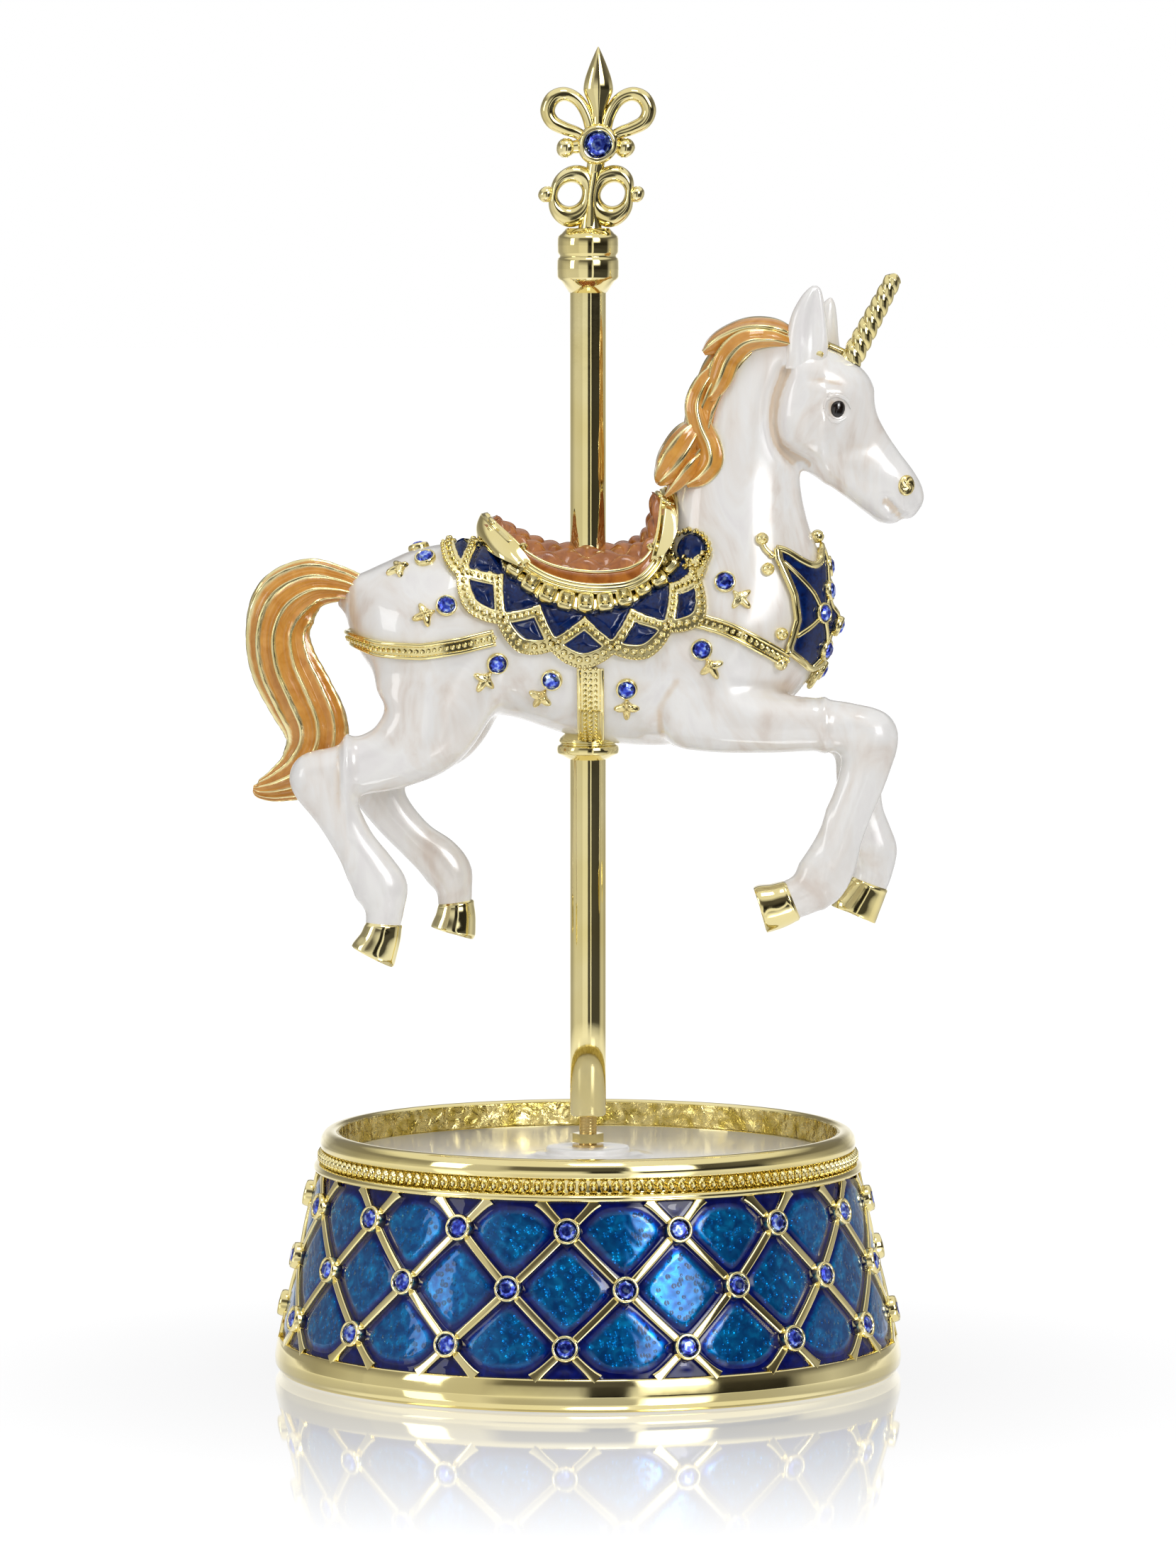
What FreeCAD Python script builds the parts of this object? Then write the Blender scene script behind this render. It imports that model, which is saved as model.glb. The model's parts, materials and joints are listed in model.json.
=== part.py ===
import FreeCAD, Part
import math
import os

os.makedirs("parts", exist_ok=True)

V = FreeCAD.Vector
UP = V(0, 0, 1)
EAST = V(1, 0, 0)
NORTH = V(0, 1, 0)

# Driving dimensions in millimetres. Origin: centre of the foot ring on the table, +Z up, animal faces +X.
FOOT_RADIUS = 52.5
FOOT_TOP = 5.5
WALL_TOP = 33.5
WALL_RADIUS_LOW = 51.5
WALL_RADIUS_HIGH = 45.1
ENAMEL_DEPTH = 0.6
LIP_TOP = 40.3
LIP_INNER = 41.9
PLATE_TOP = 35.8
PLATE_THICKNESS = 1.6
BOSS_TOP = 37.3
COVER_BOTTOM = 9.0
COVER_TOP = 10.5
COVER_RADIUS = 47.2
LATTICE_COLUMNS = 16
LATTICE_ROWS = (10.2, 19.5, 28.8)
LATTICE_PHASE = -82.9
RIB_WIDTH = 1.1
RIB_PROUD = 0.35
BEZEL_RADIUS = 2.1
BEZEL_PROUD = 1.5
STONE_RADIUS = 1.4
POLE_RADIUS = 3.0
POLE_BOTTOM = 42.5
POLE_TOP = 180.0
SPINDLE_RADIUS = 1.45
RUNNING_GAP = 0.05

# Finial: spear sections (height, half width, half depth) and the pair of curls beside it.
SPEAR = ((211.6, 0.8, 0.8), (213.0, 1.7, 1.2), (214.8, 2.5, 1.5), (217.6, 1.6, 1.1), (220.7, 0.12, 0.12))
CURL_RADIUS = 3.3
CURL_ACROSS = 4.9
CURL_HEIGHT = 210.2

# Movement: barrel on the spindle axis, cylinder lying along +X, governor beside it.
BARREL_RADIUS = 12.0
BARREL_BOTTOM = 13.6
BARREL_TOP = 20.6
CROWN_TEETH = 36
CROWN_RADIUS = 11.0
PINION_TEETH = 12
CROWN_PITCH_HEIGHT = 22.05
AXLE_HEIGHT = CROWN_PITCH_HEIGHT + CROWN_RADIUS * PINION_TEETH / CROWN_TEETH
CYLINDER_RADIUS = 4.2
CYLINDER_START = 17.0
CYLINDER_END = 33.0
COMB_TEETH = 18
DRIVE_TEETH = 36
GOVERNOR_TEETH = 12
DRIVE_MODULE = 0.35
GOVERNOR_Y = DRIVE_MODULE * (DRIVE_TEETH + GOVERNOR_TEETH) / 2 + 0.06
WORM_WHEEL_TEETH = 12
WORM_WHEEL_RADIUS = 3.0
WORM_RADIUS = 1.3
WORM_LEAD = 2 * math.pi * WORM_WHEEL_RADIUS / WORM_WHEEL_TEETH
FLY_X = 24.4
FLY_Y = GOVERNOR_Y + WORM_WHEEL_RADIUS + WORM_RADIUS

# The animal, side view: (x, z) in millimetres measured along its middle plane, near side at -Y.
TORSO = (
    (-40.2, 131.0, 125.5, 2.6), (-38.4, 133.2, 120.5, 5.6), (-34.5, 134.9, 114.5, 9.0),
    (-28.5, 137.4, 111.0, 11.2),
    (-21.0, 138.4, 109.6, 12.0), (-13.0, 136.8, 109.4, 11.8), (-4.0, 134.2, 106.6, 12.2),
    (5.0, 133.6, 104.9, 12.6),
    (14.0, 135.4, 104.6, 12.6), (22.0, 138.0, 105.6, 12.0), (29.0, 139.2, 108.8, 10.8),
    (34.5, 138.0, 113.0, 8.8),
    (37.8, 134.6, 117.6, 6.0), (39.4, 129.6, 122.6, 2.8),
)
NECK = (
    (24.5, 0, 126.0, 12.5, 10.5), (24.8, 0, 133.0, 12.6, 10.4), (24.9, 0, 140.0, 11.9, 9.6),
    (25.0, 0, 147.0, 10.3, 8.2),
    (25.8, 0, 154.5, 9.2, 7.0), (27.0, 0, 161.5, 8.0, 6.2), (29.2, 0, 167.4, 6.6, 5.6),
    (32.2, 0, 171.0, 4.6, 4.4),
)
HEAD_START = V(33.5, 0, 168.0)
HEAD_ALONG = V(0.63, 0, -0.777)
HEAD = (
    (-1.6, 4.0, -1.0, 2.6), (1.0, 6.8, -4.5, 4.6), (4.5, 8.7, -7.6, 5.3), (8.0, 9.3, -9.6, 5.4),
    (11.5, 7.9, -9.9, 5.2),
    (15.0, 6.5, -9.0, 4.7), (19.0, 5.6, -7.6, 4.1), (23.0, 5.2, -6.5, 3.7), (27.0, 5.0, -5.6, 3.7),
    (30.0, 4.2, -5.0, 3.6),
    (31.7, 2.6, -3.8, 2.8), (32.6, 0.8, -2.2, 1.4),
)
NEAR_FORE_UPPER = (
    (11.6, 7.2, 109.6, 2.2, 2.2), (14.0, 7.6, 109.8, 4.8, 4.0), (21.0, 8.2, 109.7, 5.7, 4.8),
    (30.0, 8.4, 108.9, 5.0, 4.4),
    (38.0, 8.4, 108.6, 4.4, 3.9), (44.0, 8.4, 108.0, 4.2, 3.6), (48.6, 8.4, 106.9, 3.9, 3.4),
    (50.9, 8.4, 106.4, 1.8, 1.8),
)
NEAR_FORE_LOWER = (
    (47.2, 8.4, 108.2, 3.0, 2.8), (46.5, 8.4, 103.4, 4.2, 3.4), (45.3, 8.4, 99.0, 3.9, 3.1),
    (43.7, 8.4, 94.8, 3.7, 2.8),
    (42.0, 8.4, 90.2, 3.7, 2.7), (40.4, 8.4, 86.0, 4.3, 3.1), (38.4, 8.4, 82.6, 4.5, 3.4),
    (36.0, 8.4, 80.5, 3.6, 3.1),
    (33.2, 8.4, 79.3, 3.4, 3.3),
)
NEAR_FORE_HOOF = ((33.2, 8.4, 79.3, 3.6, 3.5), (31.0, 8.4, 78.5, 4.0, 3.7), (28.8, 8.4, 78.1, 4.2, 3.9))
FAR_FORE_UPPER = (
    (11.6, 7.2, 108.8, 2.2, 2.2), (14.0, 7.6, 108.8, 4.8, 4.0), (21.0, 8.2, 108.6, 5.6, 4.8),
    (30.0, 8.4, 107.9, 4.9, 4.4),
    (38.0, 8.4, 107.4, 4.4, 3.9), (43.0, 8.4, 106.8, 4.2, 3.6), (47.2, 8.4, 106.0, 3.9, 3.4),
    (49.6, 8.4, 105.4, 1.8, 1.8),
)
FAR_FORE_LOWER = (
    (46.2, 8.4, 107.2, 3.0, 2.8), (45.6, 8.4, 102.4, 4.0, 3.3), (45.5, 8.4, 97.6, 3.8, 3.0),
    (46.0, 8.4, 93.0, 3.6, 2.8),
    (47.1, 8.4, 88.8, 4.0, 3.1), (47.8, 8.4, 86.0, 4.2, 3.3), (47.8, 8.4, 82.8, 3.4, 3.0),
    (47.0, 8.4, 80.1, 3.1, 3.2),
)
FAR_FORE_HOOF = ((47.0, 8.4, 80.1, 3.3, 3.4), (45.8, 8.4, 78.1, 3.8, 3.6), (44.5, 8.4, 76.0, 4.3, 3.8))
NEAR_HIND_UPPER = (
    (-25.0, 5.4, 120.5, 8.6, 4.8), (-25.2, 7.2, 113.5, 9.6, 5.8), (-27.4, 8.0, 107.6, 8.0, 5.4),
    (-32.2, 8.4, 103.6, 5.8, 4.6),
    (-38.0, 8.5, 101.6, 4.7, 3.9), (-43.0, 8.5, 100.2, 4.4, 3.6), (-46.8, 8.5, 99.4, 3.9, 3.1),
    (-49.0, 8.5, 99.2, 1.8, 1.6),
)
NEAR_HIND_LOWER = (
    (-44.6, 8.6, 101.0, 2.8, 2.4), (-43.3, 8.6, 97.3, 4.2, 3.2), (-41.2, 8.5, 93.2, 3.7, 2.9),
    (-38.7, 8.5, 88.7, 3.5, 2.8),
    (-36.0, 8.5, 84.4, 4.1, 3.1), (-34.3, 8.5, 81.0, 4.5, 3.4), (-33.8, 8.5, 77.8, 3.3, 2.9),
    (-34.1, 8.5, 75.0, 2.9, 3.0),
)
NEAR_HIND_HOOF = ((-34.1, 8.5, 75.0, 3.1, 3.2), (-34.7, 8.5, 72.8, 3.5, 3.4), (-35.9, 8.5, 70.3, 4.1, 3.6))
FAR_HIND_UPPER = (
    (-24.0, 5.4, 120.5, 8.6, 4.8), (-23.6, 7.2, 113.5, 9.4, 5.8), (-25.2, 8.0, 107.6, 7.8, 5.4),
    (-29.6, 8.4, 103.6, 5.6, 4.6),
    (-33.6, 8.5, 101.4, 4.6, 3.9), (-37.0, 8.5, 99.8, 4.2, 3.5), (-39.8, 8.5, 98.6, 3.2, 2.8),
    (-41.6, 8.5, 98.0, 1.6, 1.5),
)
FAR_HIND_LOWER = (
    (-37.6, 8.5, 101.2, 3.2, 2.8), (-35.4, 8.5, 96.4, 4.1, 3.2), (-32.5, 8.5, 92.0, 3.6, 2.9),
    (-28.8, 8.5, 88.0, 3.4, 2.8),
    (-25.2, 8.5, 84.9, 3.9, 3.1), (-23.2, 8.5, 82.2, 3.9, 3.2), (-22.4, 8.5, 79.4, 3.0, 2.8),
    (-22.4, 8.5, 77.7, 2.9, 2.9),
)
FAR_HIND_HOOF = ((-22.4, 8.5, 77.7, 3.1, 3.1), (-22.2, 8.5, 75.4, 3.4, 3.3), (-21.7, 8.5, 72.7, 3.9, 3.6))
TAIL = (
    (-38.0, 0, 130.4, 2.4, 2.6), (-42.0, 0, 131.6, 2.8, 2.9), (-46.6, 0, 131.6, 3.8, 3.3),
    (-50.4, 0, 128.6, 4.8, 3.7),
    (-52.0, 0, 123.6, 4.5, 3.8), (-51.0, 0, 118.2, 4.9, 3.7), (-48.2, 0, 113.0, 5.0, 3.5),
    (-46.0, 0, 108.4, 4.7, 3.2),
    (-46.2, 0, 104.2, 4.2, 2.8), (-48.6, 0, 100.4, 3.6, 2.3), (-52.2, 0, 98.2, 2.4, 1.6),
    (-55.4, 0, 97.2, 0.9, 0.9),
)
MANE = (
    (34.0, 0, 173.4, 1.2, 1.6), (30.0, 0, 173.6, 1.9, 3.4), (25.4, 0, 171.4, 3.2, 5.0),
    (21.6, 0, 166.6, 3.8, 5.9),
    (19.2, 0, 160.6, 3.6, 6.2), (17.6, 0, 154.8, 4.0, 6.6), (14.6, 0, 149.6, 3.2, 5.6),
    (12.0, 0, 147.2, 1.2, 2.0),
)
HORN_BASE = V(44.0, 0, 169.4)
HORN_TIP = V(51.3, 0, 183.3)
EAR_SIDE = 3.2
COLLAR_HEIGHT = 103.6

SADDLE_CLOTH = (
    (-24.0, 145.0), (-24.0, 139.2), (-21.9, 134.0), (-21.3, 130.5), (-19.5, 127.6), (-16.5, 124.6),
    (-13.0, 121.4),
    (-9.4, 120.8), (-5.0, 121.6), (-3.0, 119.6), (0.1, 118.6), (3.4, 119.2), (5.0, 119.4), (7.8, 118.1),
    (11.2, 118.8),
    (13.8, 121.0), (15.0, 123.4), (17.4, 124.6), (19.1, 126.4), (20.1, 130.5), (19.7, 135.3), (18.6, 145.0),
)
SEAT = (
    (-15.6, 143.6), (-11.8, 137.0), (-7.8, 133.4), (-3.4, 131.1), (0.2, 130.2), (3.7, 129.9),
    (7.0, 130.6), (9.6, 132.3),
    (11.2, 134.4), (12.0, 136.5), (12.4, 143.6),
)
SEAT_SECTIONS = (
    (-15.8, 139.6, 127.0, 6.0), (-12.0, 137.6, 126.0, 10.6), (-6.0, 135.9, 125.0, 13.2),
    (0.0, 135.2, 124.0, 14.0),
    (6.0, 136.0, 124.0, 13.6), (10.0, 138.0, 125.0, 11.4), (12.8, 140.0, 127.0, 8.0),
)
BREAST_COLLAR = (
    (28.6, 139.3), (30.0, 136.2), (33.0, 135.6), (36.0, 137.2), (37.4, 141.6), (46.0, 141.6),
    (46.0, 113.0), (33.8, 112.6),
    (31.4, 118.4), (32.6, 121.4), (31.2, 124.0), (29.6, 128.0), (29.0, 133.6), (27.6, 137.0),
)
HIP_STRAP = (
    (-44.0, 124.6), (-39.3, 123.8), (-33.0, 122.7), (-27.2, 122.5), (-21.0, 123.3), (-15.0, 124.8),
    (-15.0, 122.4), (-21.0, 120.9), (-27.2, 120.1), (-33.0, 120.3), (-39.3, 121.4), (-44.0, 122.2),
)
CHEST_STRAP = ((17.0, 127.6), (24.5, 124.6), (33.0, 121.4), (33.0, 119.2), (24.5, 122.4), (17.0, 125.4))
FLANK_STONES = (
    (-27.0, 136.1), (-23.4, 128.5), (-15.0, 119.0), (-5.9, 116.3), (6.4, 114.8), (18.8, 121.4),
)
NECK_STONE = (22.7, 132.4)
CHEST_STONES = (134.2, 129.8, 125.4, 121.0, 116.9)

GIRTH = ((-1.9, 123.0), (2.6, 123.0), (2.3, 100.0), (-1.6, 100.0))
SADDLE_TREE = (
    (-19.0, 150.0), (-13.4, 136.6), (-9.0, 131.6), (-4.0, 129.0), (0.0, 128.2), (3.8, 127.9),
    (7.8, 128.6), (11.2, 130.6),
    (13.6, 134.6), (15.4, 142.0), (15.4, 150.0),
)
CANTLE = (
    (-11.4, 134.0), (-9.0, 136.2), (-12.6, 138.6), (-15.2, 141.0), (-17.4, 143.6), (-18.3, 143.2),
    (-16.6, 138.6),
    (-14.4, 135.6), (-13.0, 133.0),
)
POMMEL = (
    (10.4, 132.0), (11.4, 136.0), (12.0, 141.0), (12.4, 147.0), (13.2, 147.6), (14.0, 146.8),
    (14.6, 142.6), (15.8, 139.4),
    (15.0, 132.0),
)


def save(name, shape):
    """Write one node of the assembly."""
    shape.exportStep("parts/" + name + ".step")
    return shape


def group(shapes):
    """Several separate solids that share a node."""
    return Part.Compound([solid for shape in shapes for solid in shape.Solids])


def fused(shapes):
    """One solid from several that touch or cross."""
    return shapes[0].multiFuse(shapes[1:]).removeSplitter()


def revolved(steps, sweep=360.0):
    """Turn a closed outline about Z from +X. Steps are (r, z) corners, or (r, z, via_r,
        via_z) for an arc."""
    points = [V(step[0], 0, step[1]) for step in steps]
    edges = []
    for index, step in enumerate(steps):
        start = points[index - 1]
        end = points[index]
        if len(step) == 4:
            edges.append(Part.Arc(start, V(step[2], 0, step[3]), end).toShape())
        else:
            edges.append(Part.makeLine(start, end))
    return Part.Face(Part.Wire(edges[1:] + edges[:1])).revolve(V(), UP, sweep)


def rod(radius, start, end):
    """Round bar between two points."""
    along = end - start
    return Part.makeCylinder(radius, along.Length, start, along)


def block(low, high):
    """Box between two corners."""
    size = V(*high) - V(*low)
    return Part.makeBox(size.x, size.y, size.z, V(*low))


def turned_copies(shape, count, axis=UP, centre=V()):
    """Copies of a shape spaced evenly round an axis."""
    copies = []
    for index in range(count):
        copy = shape.copy()
        copy.rotate(centre, axis, 360.0 * index / count)
        copies.append(copy)
    return copies


def aimed(shape, position, normal):
    """Move a shape built on +Z at the origin so that it stands on a point along a normal."""
    copy = shape.copy()
    copy.Placement = FreeCAD.Placement(position, FreeCAD.Rotation(UP, normal))
    return copy


def toothed_disc(teeth, root, tip, root_share, tip_share, width, phase=0.0):
    """Spur wheel on +Z: straight-sided teeth whose widths are shares of the tooth pitch."""
    points = []
    for index in range(teeth):
        for radius, share in ((root, -root_share), (tip, -tip_share), (tip, tip_share), (root, root_share)):
            angle = 2 * math.pi * (index + phase + share / 2) / teeth
            points.append(V(radius * math.cos(angle), radius * math.sin(angle), 0))
    return Part.Face(Part.makePolygon(points + points[:1])).extrude(V(0, 0, width))


def along_x(shape, x, y, z):
    """Lay a shape built on +Z along +X, with its foot at the given point."""
    copy = shape.copy()
    copy.rotate(V(), NORTH, 90)
    copy.translate(V(x, y, z))
    return copy


def wall_radius(z):
    """Radius of the enamel surface of the drum at a height."""
    share = (z - FOOT_TOP) / (WALL_TOP - FOOT_TOP)
    return WALL_RADIUS_LOW + (WALL_RADIUS_HIGH - WALL_RADIUS_LOW) * share


def wall_band(inner, outer, start, sweep):
    """Part of the conical ring between two offsets from the enamel surface, angles in degrees."""
    band = revolved([
        (WALL_RADIUS_LOW + inner, FOOT_TOP),
        (WALL_RADIUS_LOW + outer, FOOT_TOP),
        (WALL_RADIUS_HIGH + outer, WALL_TOP),
        (WALL_RADIUS_HIGH + inner, WALL_TOP),
    ], sweep)
    band.rotate(V(), UP, start)
    return band


def wall_point(angle, z, offset=0.0):
    """Point on the drum wall, angle in degrees."""
    radius = wall_radius(z) + offset
    return V(radius * math.cos(math.radians(angle)), radius * math.sin(math.radians(angle)), z)


def wall_normal(angle):
    """Outward normal of the conical wall."""
    slope = (WALL_RADIUS_LOW - WALL_RADIUS_HIGH) / (WALL_TOP - FOOT_TOP)
    normal = V(math.cos(math.radians(angle)), math.sin(math.radians(angle)), slope)
    return normal.normalize()


def stone(radius):
    """Faceted stone on +Z: flat table, eight crown facets, eight pavilion facets."""
    def ring(size, z, turn=0.0):
        corners = [
            V(size * math.cos(math.radians(45 * i + turn)), size * math.sin(math.radians(45 * i + turn)), z)
            for i in range(8)
        ]
        return Part.makePolygon(corners + corners[:1])
    crown = Part.makeLoft([ring(radius, 0.0), ring(radius * 0.6, radius * 0.45)], True, True)
    pavilion = Part.makeLoft([ring(radius * 0.5, -radius * 0.5), ring(radius, 0.0)], True, True)
    return crown.fuse(pavilion)


def bezel(radius, stone_radius, foot, rim):
    """Round setting on +Z with a tapered seat for its stone."""
    floor = rim - 0.75 - stone_radius * 0.62
    return revolved([
        (0, foot),
        (radius, foot),
        (radius, rim),
        (stone_radius + 0.15, rim),
        (stone_radius * 0.62, floor),
        (0, floor),
    ])


def rib(angle_low, z_low, angle_high, z_high):
    """Raised strip between two places on the wall, squared off along the surface normal."""
    start = wall_point(angle_low, z_low)
    end = wall_point(angle_high, z_high)
    out = wall_normal((angle_low + angle_high) / 2)
    across = (end - start).cross(out).normalize() * (RIB_WIDTH / 2)
    inward = out * -1.6
    corners = [start - across + inward, start + across + inward, end + across + inward,
        end - across + inward]
    return Part.Face(Part.makePolygon(corners + corners[:1])).extrude(out * 3.6)


def lattice():
    """Diamond lattice: ribs follow the cone, a setting covers every crossing. Made as one column,
        then patterned."""
    column = 360.0 / LATTICE_COLUMNS
    half = column / 2
    share = 0.52
    low, middle, high = LATTICE_ROWS
    first = LATTICE_PHASE - half
    ribs = []
    for side in (-half, half):
        ribs.append(rib(first, low, first + side * share, FOOT_TOP - 0.3))
        ribs.append(rib(first, low, first + side, middle))
        ribs.append(rib(first, high, first + side, middle))
        ribs.append(rib(first, high, first + side * share, WALL_TOP + 0.3))
    crossings = ((first, low), (first, high), (first + half, middle), (first - half, middle))
    blank = Part.makeCylinder(BEZEL_RADIUS - 0.3, 4, V(0, 0, -2))
    blanks = [aimed(blank, wall_point(angle, z), wall_normal(angle)) for angle, z in crossings]
    band = wall_band(-ENAMEL_DEPTH, RIB_PROUD, first - column, 2 * column)
    pieces = ribs[0].multiFuse(ribs[1:]).common(band).cut(blanks).Solids
    core = revolved([
        (0, 0), (wall_radius(0) - ENAMEL_DEPTH, 0), (wall_radius(LIP_TOP) - ENAMEL_DEPTH, LIP_TOP),
        (0, LIP_TOP),
    ])
    cup = bezel(BEZEL_RADIUS, STONE_RADIUS, -1.5, BEZEL_PROUD)
    stones = []
    for angle, z in crossings[:3]:
        pieces.append(aimed(cup, wall_point(angle, z), wall_normal(angle)).cut(core))
        seat = wall_point(angle, z) + wall_normal(angle) * (BEZEL_PROUD - 0.5)
        stones.append(aimed(stone(STONE_RADIUS), seat, wall_normal(angle)))
    unit = pieces[0].multiFuse(pieces[1:])
    units = turned_copies(unit, LATTICE_COLUMNS)
    cells = enamel_cells(unit, first, column)
    stones = [copy for gem in stones for copy in turned_copies(gem, LATTICE_COLUMNS)]
    return units[0].multiFuse(units[1:]), stones, cells


def enamel_cells(unit, first, column):
    """Enamel between the ribs: the five cells of one column, patterned round the drum."""
    beside = []
    for step in (-1, 1):
        copy = unit.copy()
        copy.rotate(V(), UP, step * column)
        beside.append(copy)
    fill = wall_band(-ENAMEL_DEPTH, 0.0, first - 1.6 * column, 3.2 * column).cut([unit] + beside)
    cells = []
    for solid in fill.Solids:
        place = solid.CenterOfMass
        turn = (math.degrees(math.atan2(place.y, place.x)) - first + 180.0) % 360.0 - 180.0
        if solid.Volume > 1.0 and -0.25 * column < turn < 0.75 * column:
            cells += turned_copies(solid, LATTICE_COLUMNS)
    return cells


def drum_shell():
    """Turned drum: foot ring, tapered wall with the enamel recess, bead groove, lip and plate ledge."""
    seat_low = WALL_RADIUS_LOW - ENAMEL_DEPTH
    seat_high = WALL_RADIUS_HIGH - ENAMEL_DEPTH
    plate_bottom = PLATE_TOP - PLATE_THICKNESS
    body = revolved([
        (COVER_RADIUS + 0.2, 0),
        (51.6, 0),
        (52.2, 4.4, FOOT_RADIUS, 2.2),
        (WALL_RADIUS_LOW + 0.4, FOOT_TOP),
        (seat_low, FOOT_TOP),
        (seat_high, WALL_TOP),
        (45.3, WALL_TOP),
        (45.3, 35.5, 45.9, 34.5),
        (43.9, 35.5),
        (43.9, 37.7),
        (44.5, 37.7),
        (43.3, LIP_TOP, 44.4, 39.6),
        (42.4, LIP_TOP),
        (LIP_INNER, LIP_TOP - 0.5),
        (LIP_INNER, plate_bottom),
        (39.4, plate_bottom),
        (39.4, 32.6),
        (42.0, 30.5),
        (46.0, COVER_TOP),
        (COVER_RADIUS + 0.2, COVER_TOP),
    ])
    lugs = []
    holes = []
    for x, y in screw_places():
        lugs.append(Part.makeCylinder(3.2, 9.0, V(x, y, COVER_TOP)))
        holes.append(Part.makeCylinder(1.25, 8.0, V(x, y, COVER_TOP)))
    return fused([body] + lugs).cut(holes)


def screw_places():
    """Four places round the drum where the cover is screwed on."""
    return [(43.4 * math.cos(math.radians(a)), 43.4 * math.sin(math.radians(a))) for a in (45, 135, 225,
        315)]


def countersunk_screw(x, y, z, shank, length):
    """Screw driven upwards: slotted cone head flush with z, plain shank for the thread."""
    head = Part.makeCone(shank * 1.85, shank, 1.1, V(x, y, z))
    body = head.fuse(Part.makeCylinder(shank, length, V(x, y, z)))
    return body.cut(block((x - 3, y - 0.25, z - 1), (x + 3, y + 0.25, z + 0.4)))


def bottom_cover():
    """Plate that closes the drum from below, with holes for the key and its screws."""
    plate = Part.makeCylinder(COVER_RADIUS, COVER_TOP - COVER_BOTTOM, V(0, 0, COVER_BOTTOM))
    cuts = [Part.makeCylinder(3.2, 4, V(0, 0, 8))]
    for x, y in screw_places():
        cuts.append(Part.makeCone(2.35, 1.3, 1.15, V(x, y, COVER_BOTTOM)))
        cuts.append(Part.makeCylinder(1.3, 4, V(x, y, 8)))
    for x, y in bed_screw_places():
        cuts.append(Part.makeCylinder(1.05, 4, V(x, y, 8)))
    return plate.cut(cuts)


def bed_screw_places():
    """Corners of the movement bedplate."""
    return [(-14.0, -16.0), (-14.0, 16.0), (34.0, -16.5), (34.0, 16.5)]


def pan_screw(x, y, z, shank, length):
    """Screw with a low round head under z, thread end pointing up."""
    head = Part.makeCylinder(shank * 1.9, 0.8, V(x, y, z - 0.8))
    body = head.fuse(Part.makeCylinder(shank, length, V(x, y, z)))
    return body.cut(block((x - 3, y - 0.2, z - 2), (x + 3, y + 0.2, z - 0.45)))


def comb():
    """Steel comb: a plate with eighteen tuned teeth, longest for the lowest note."""
    pitch = (CYLINDER_END - CYLINDER_START - 1.0) / (COMB_TEETH - 1)
    tip = CYLINDER_RADIUS + 0.65
    z = AXLE_HEIGHT - 0.3
    plate = block((CYLINDER_START, -21.0, z), (CYLINDER_END, -16.5, z + 0.6))
    teeth = []
    for index in range(COMB_TEETH):
        x = CYLINDER_START + 0.5 + index * pitch
        root = -16.5 + 3.2 * index / (COMB_TEETH - 1)
        teeth.append(block((x - 0.32, -16.6, z), (x + 0.32, -tip, z + 0.6)))
        if index:
            teeth.append(block((x - pitch, -16.6, z), (x, root, z + 0.6)))
    whole = plate.multiFuse(teeth).removeSplitter()
    return whole.cut([Part.makeCylinder(0.9, 3, V(x, -18.8, z - 1)) for x in comb_screw_places()])


def comb_block():
    """Block under the comb, with holes for its screws."""
    z = AXLE_HEIGHT - 0.3
    support = block((CYLINDER_START, -20.6, 12.0), (CYLINDER_END, -16.8, z))
    return support.cut([Part.makeCylinder(0.9, 8, V(x, -18.8, z - 7)) for x in comb_screw_places()])


def cheese_screw(x, y, z, shank, length):
    """Slotted screw driven downwards, head resting on z."""
    head = Part.makeCylinder(shank * 1.9, 0.9, V(x, y, z))
    body = head.fuse(Part.makeCylinder(shank, length, V(x, y, z - length)))
    return body.cut(block((x - 3, y - 0.2, z + 0.5), (x + 3, y + 0.2, z + 2)))


def comb_screw_places():
    """Two screws hold the comb down."""
    return [CYLINDER_START + 3.5, CYLINDER_END - 3.5]


def pinned_cylinder():
    """Brass cylinder with rows of music pins, its axle, the crown's pinion and the drive wheel."""
    barrel = rod(CYLINDER_RADIUS, V(CYLINDER_START, 0, AXLE_HEIGHT), V(CYLINDER_END, 0, AXLE_HEIGHT))
    pitch = (CYLINDER_END - CYLINDER_START - 1.0) / (COMB_TEETH - 1)
    pins = []
    for index in range(COMB_TEETH):
        for beat in range(3):
            angle = math.radians((index * 77 + beat * 131) % 360)
            out = V(0, math.cos(angle), math.sin(angle))
            foot = V(CYLINDER_START + 0.5 + index * pitch, 0, AXLE_HEIGHT) + out * (CYLINDER_RADIUS - 0.3)
            pins.append(rod(0.18, foot, foot + out * 0.8))
    drum = barrel.multiFuse(pins)
    drum = drum.cut(rod(0.9, V(0, 0, AXLE_HEIGHT), V(40, 0, AXLE_HEIGHT)))
    axle = rod(0.9, V(9.6, 0, AXLE_HEIGHT), V(38.2, 0, AXLE_HEIGHT))
    pinion = along_x(toothed_disc(PINION_TEETH, 2.85, 4.15, 0.46, 0.2, 1.6, 0.5), 10.2, 0, AXLE_HEIGHT)
    bore = rod(0.9, V(0, 0, AXLE_HEIGHT), V(40, 0, AXLE_HEIGHT))
    root = DRIVE_MODULE * (DRIVE_TEETH / 2 - 1.3)
    tip = DRIVE_MODULE * (DRIVE_TEETH / 2 + 0.8)
    drive = along_x(toothed_disc(DRIVE_TEETH, root, tip, 0.52, 0.24, 1.2), 34.0, 0, AXLE_HEIGHT)
    return drum, axle, pinion.cut(bore), drive.cut(bore)


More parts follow.
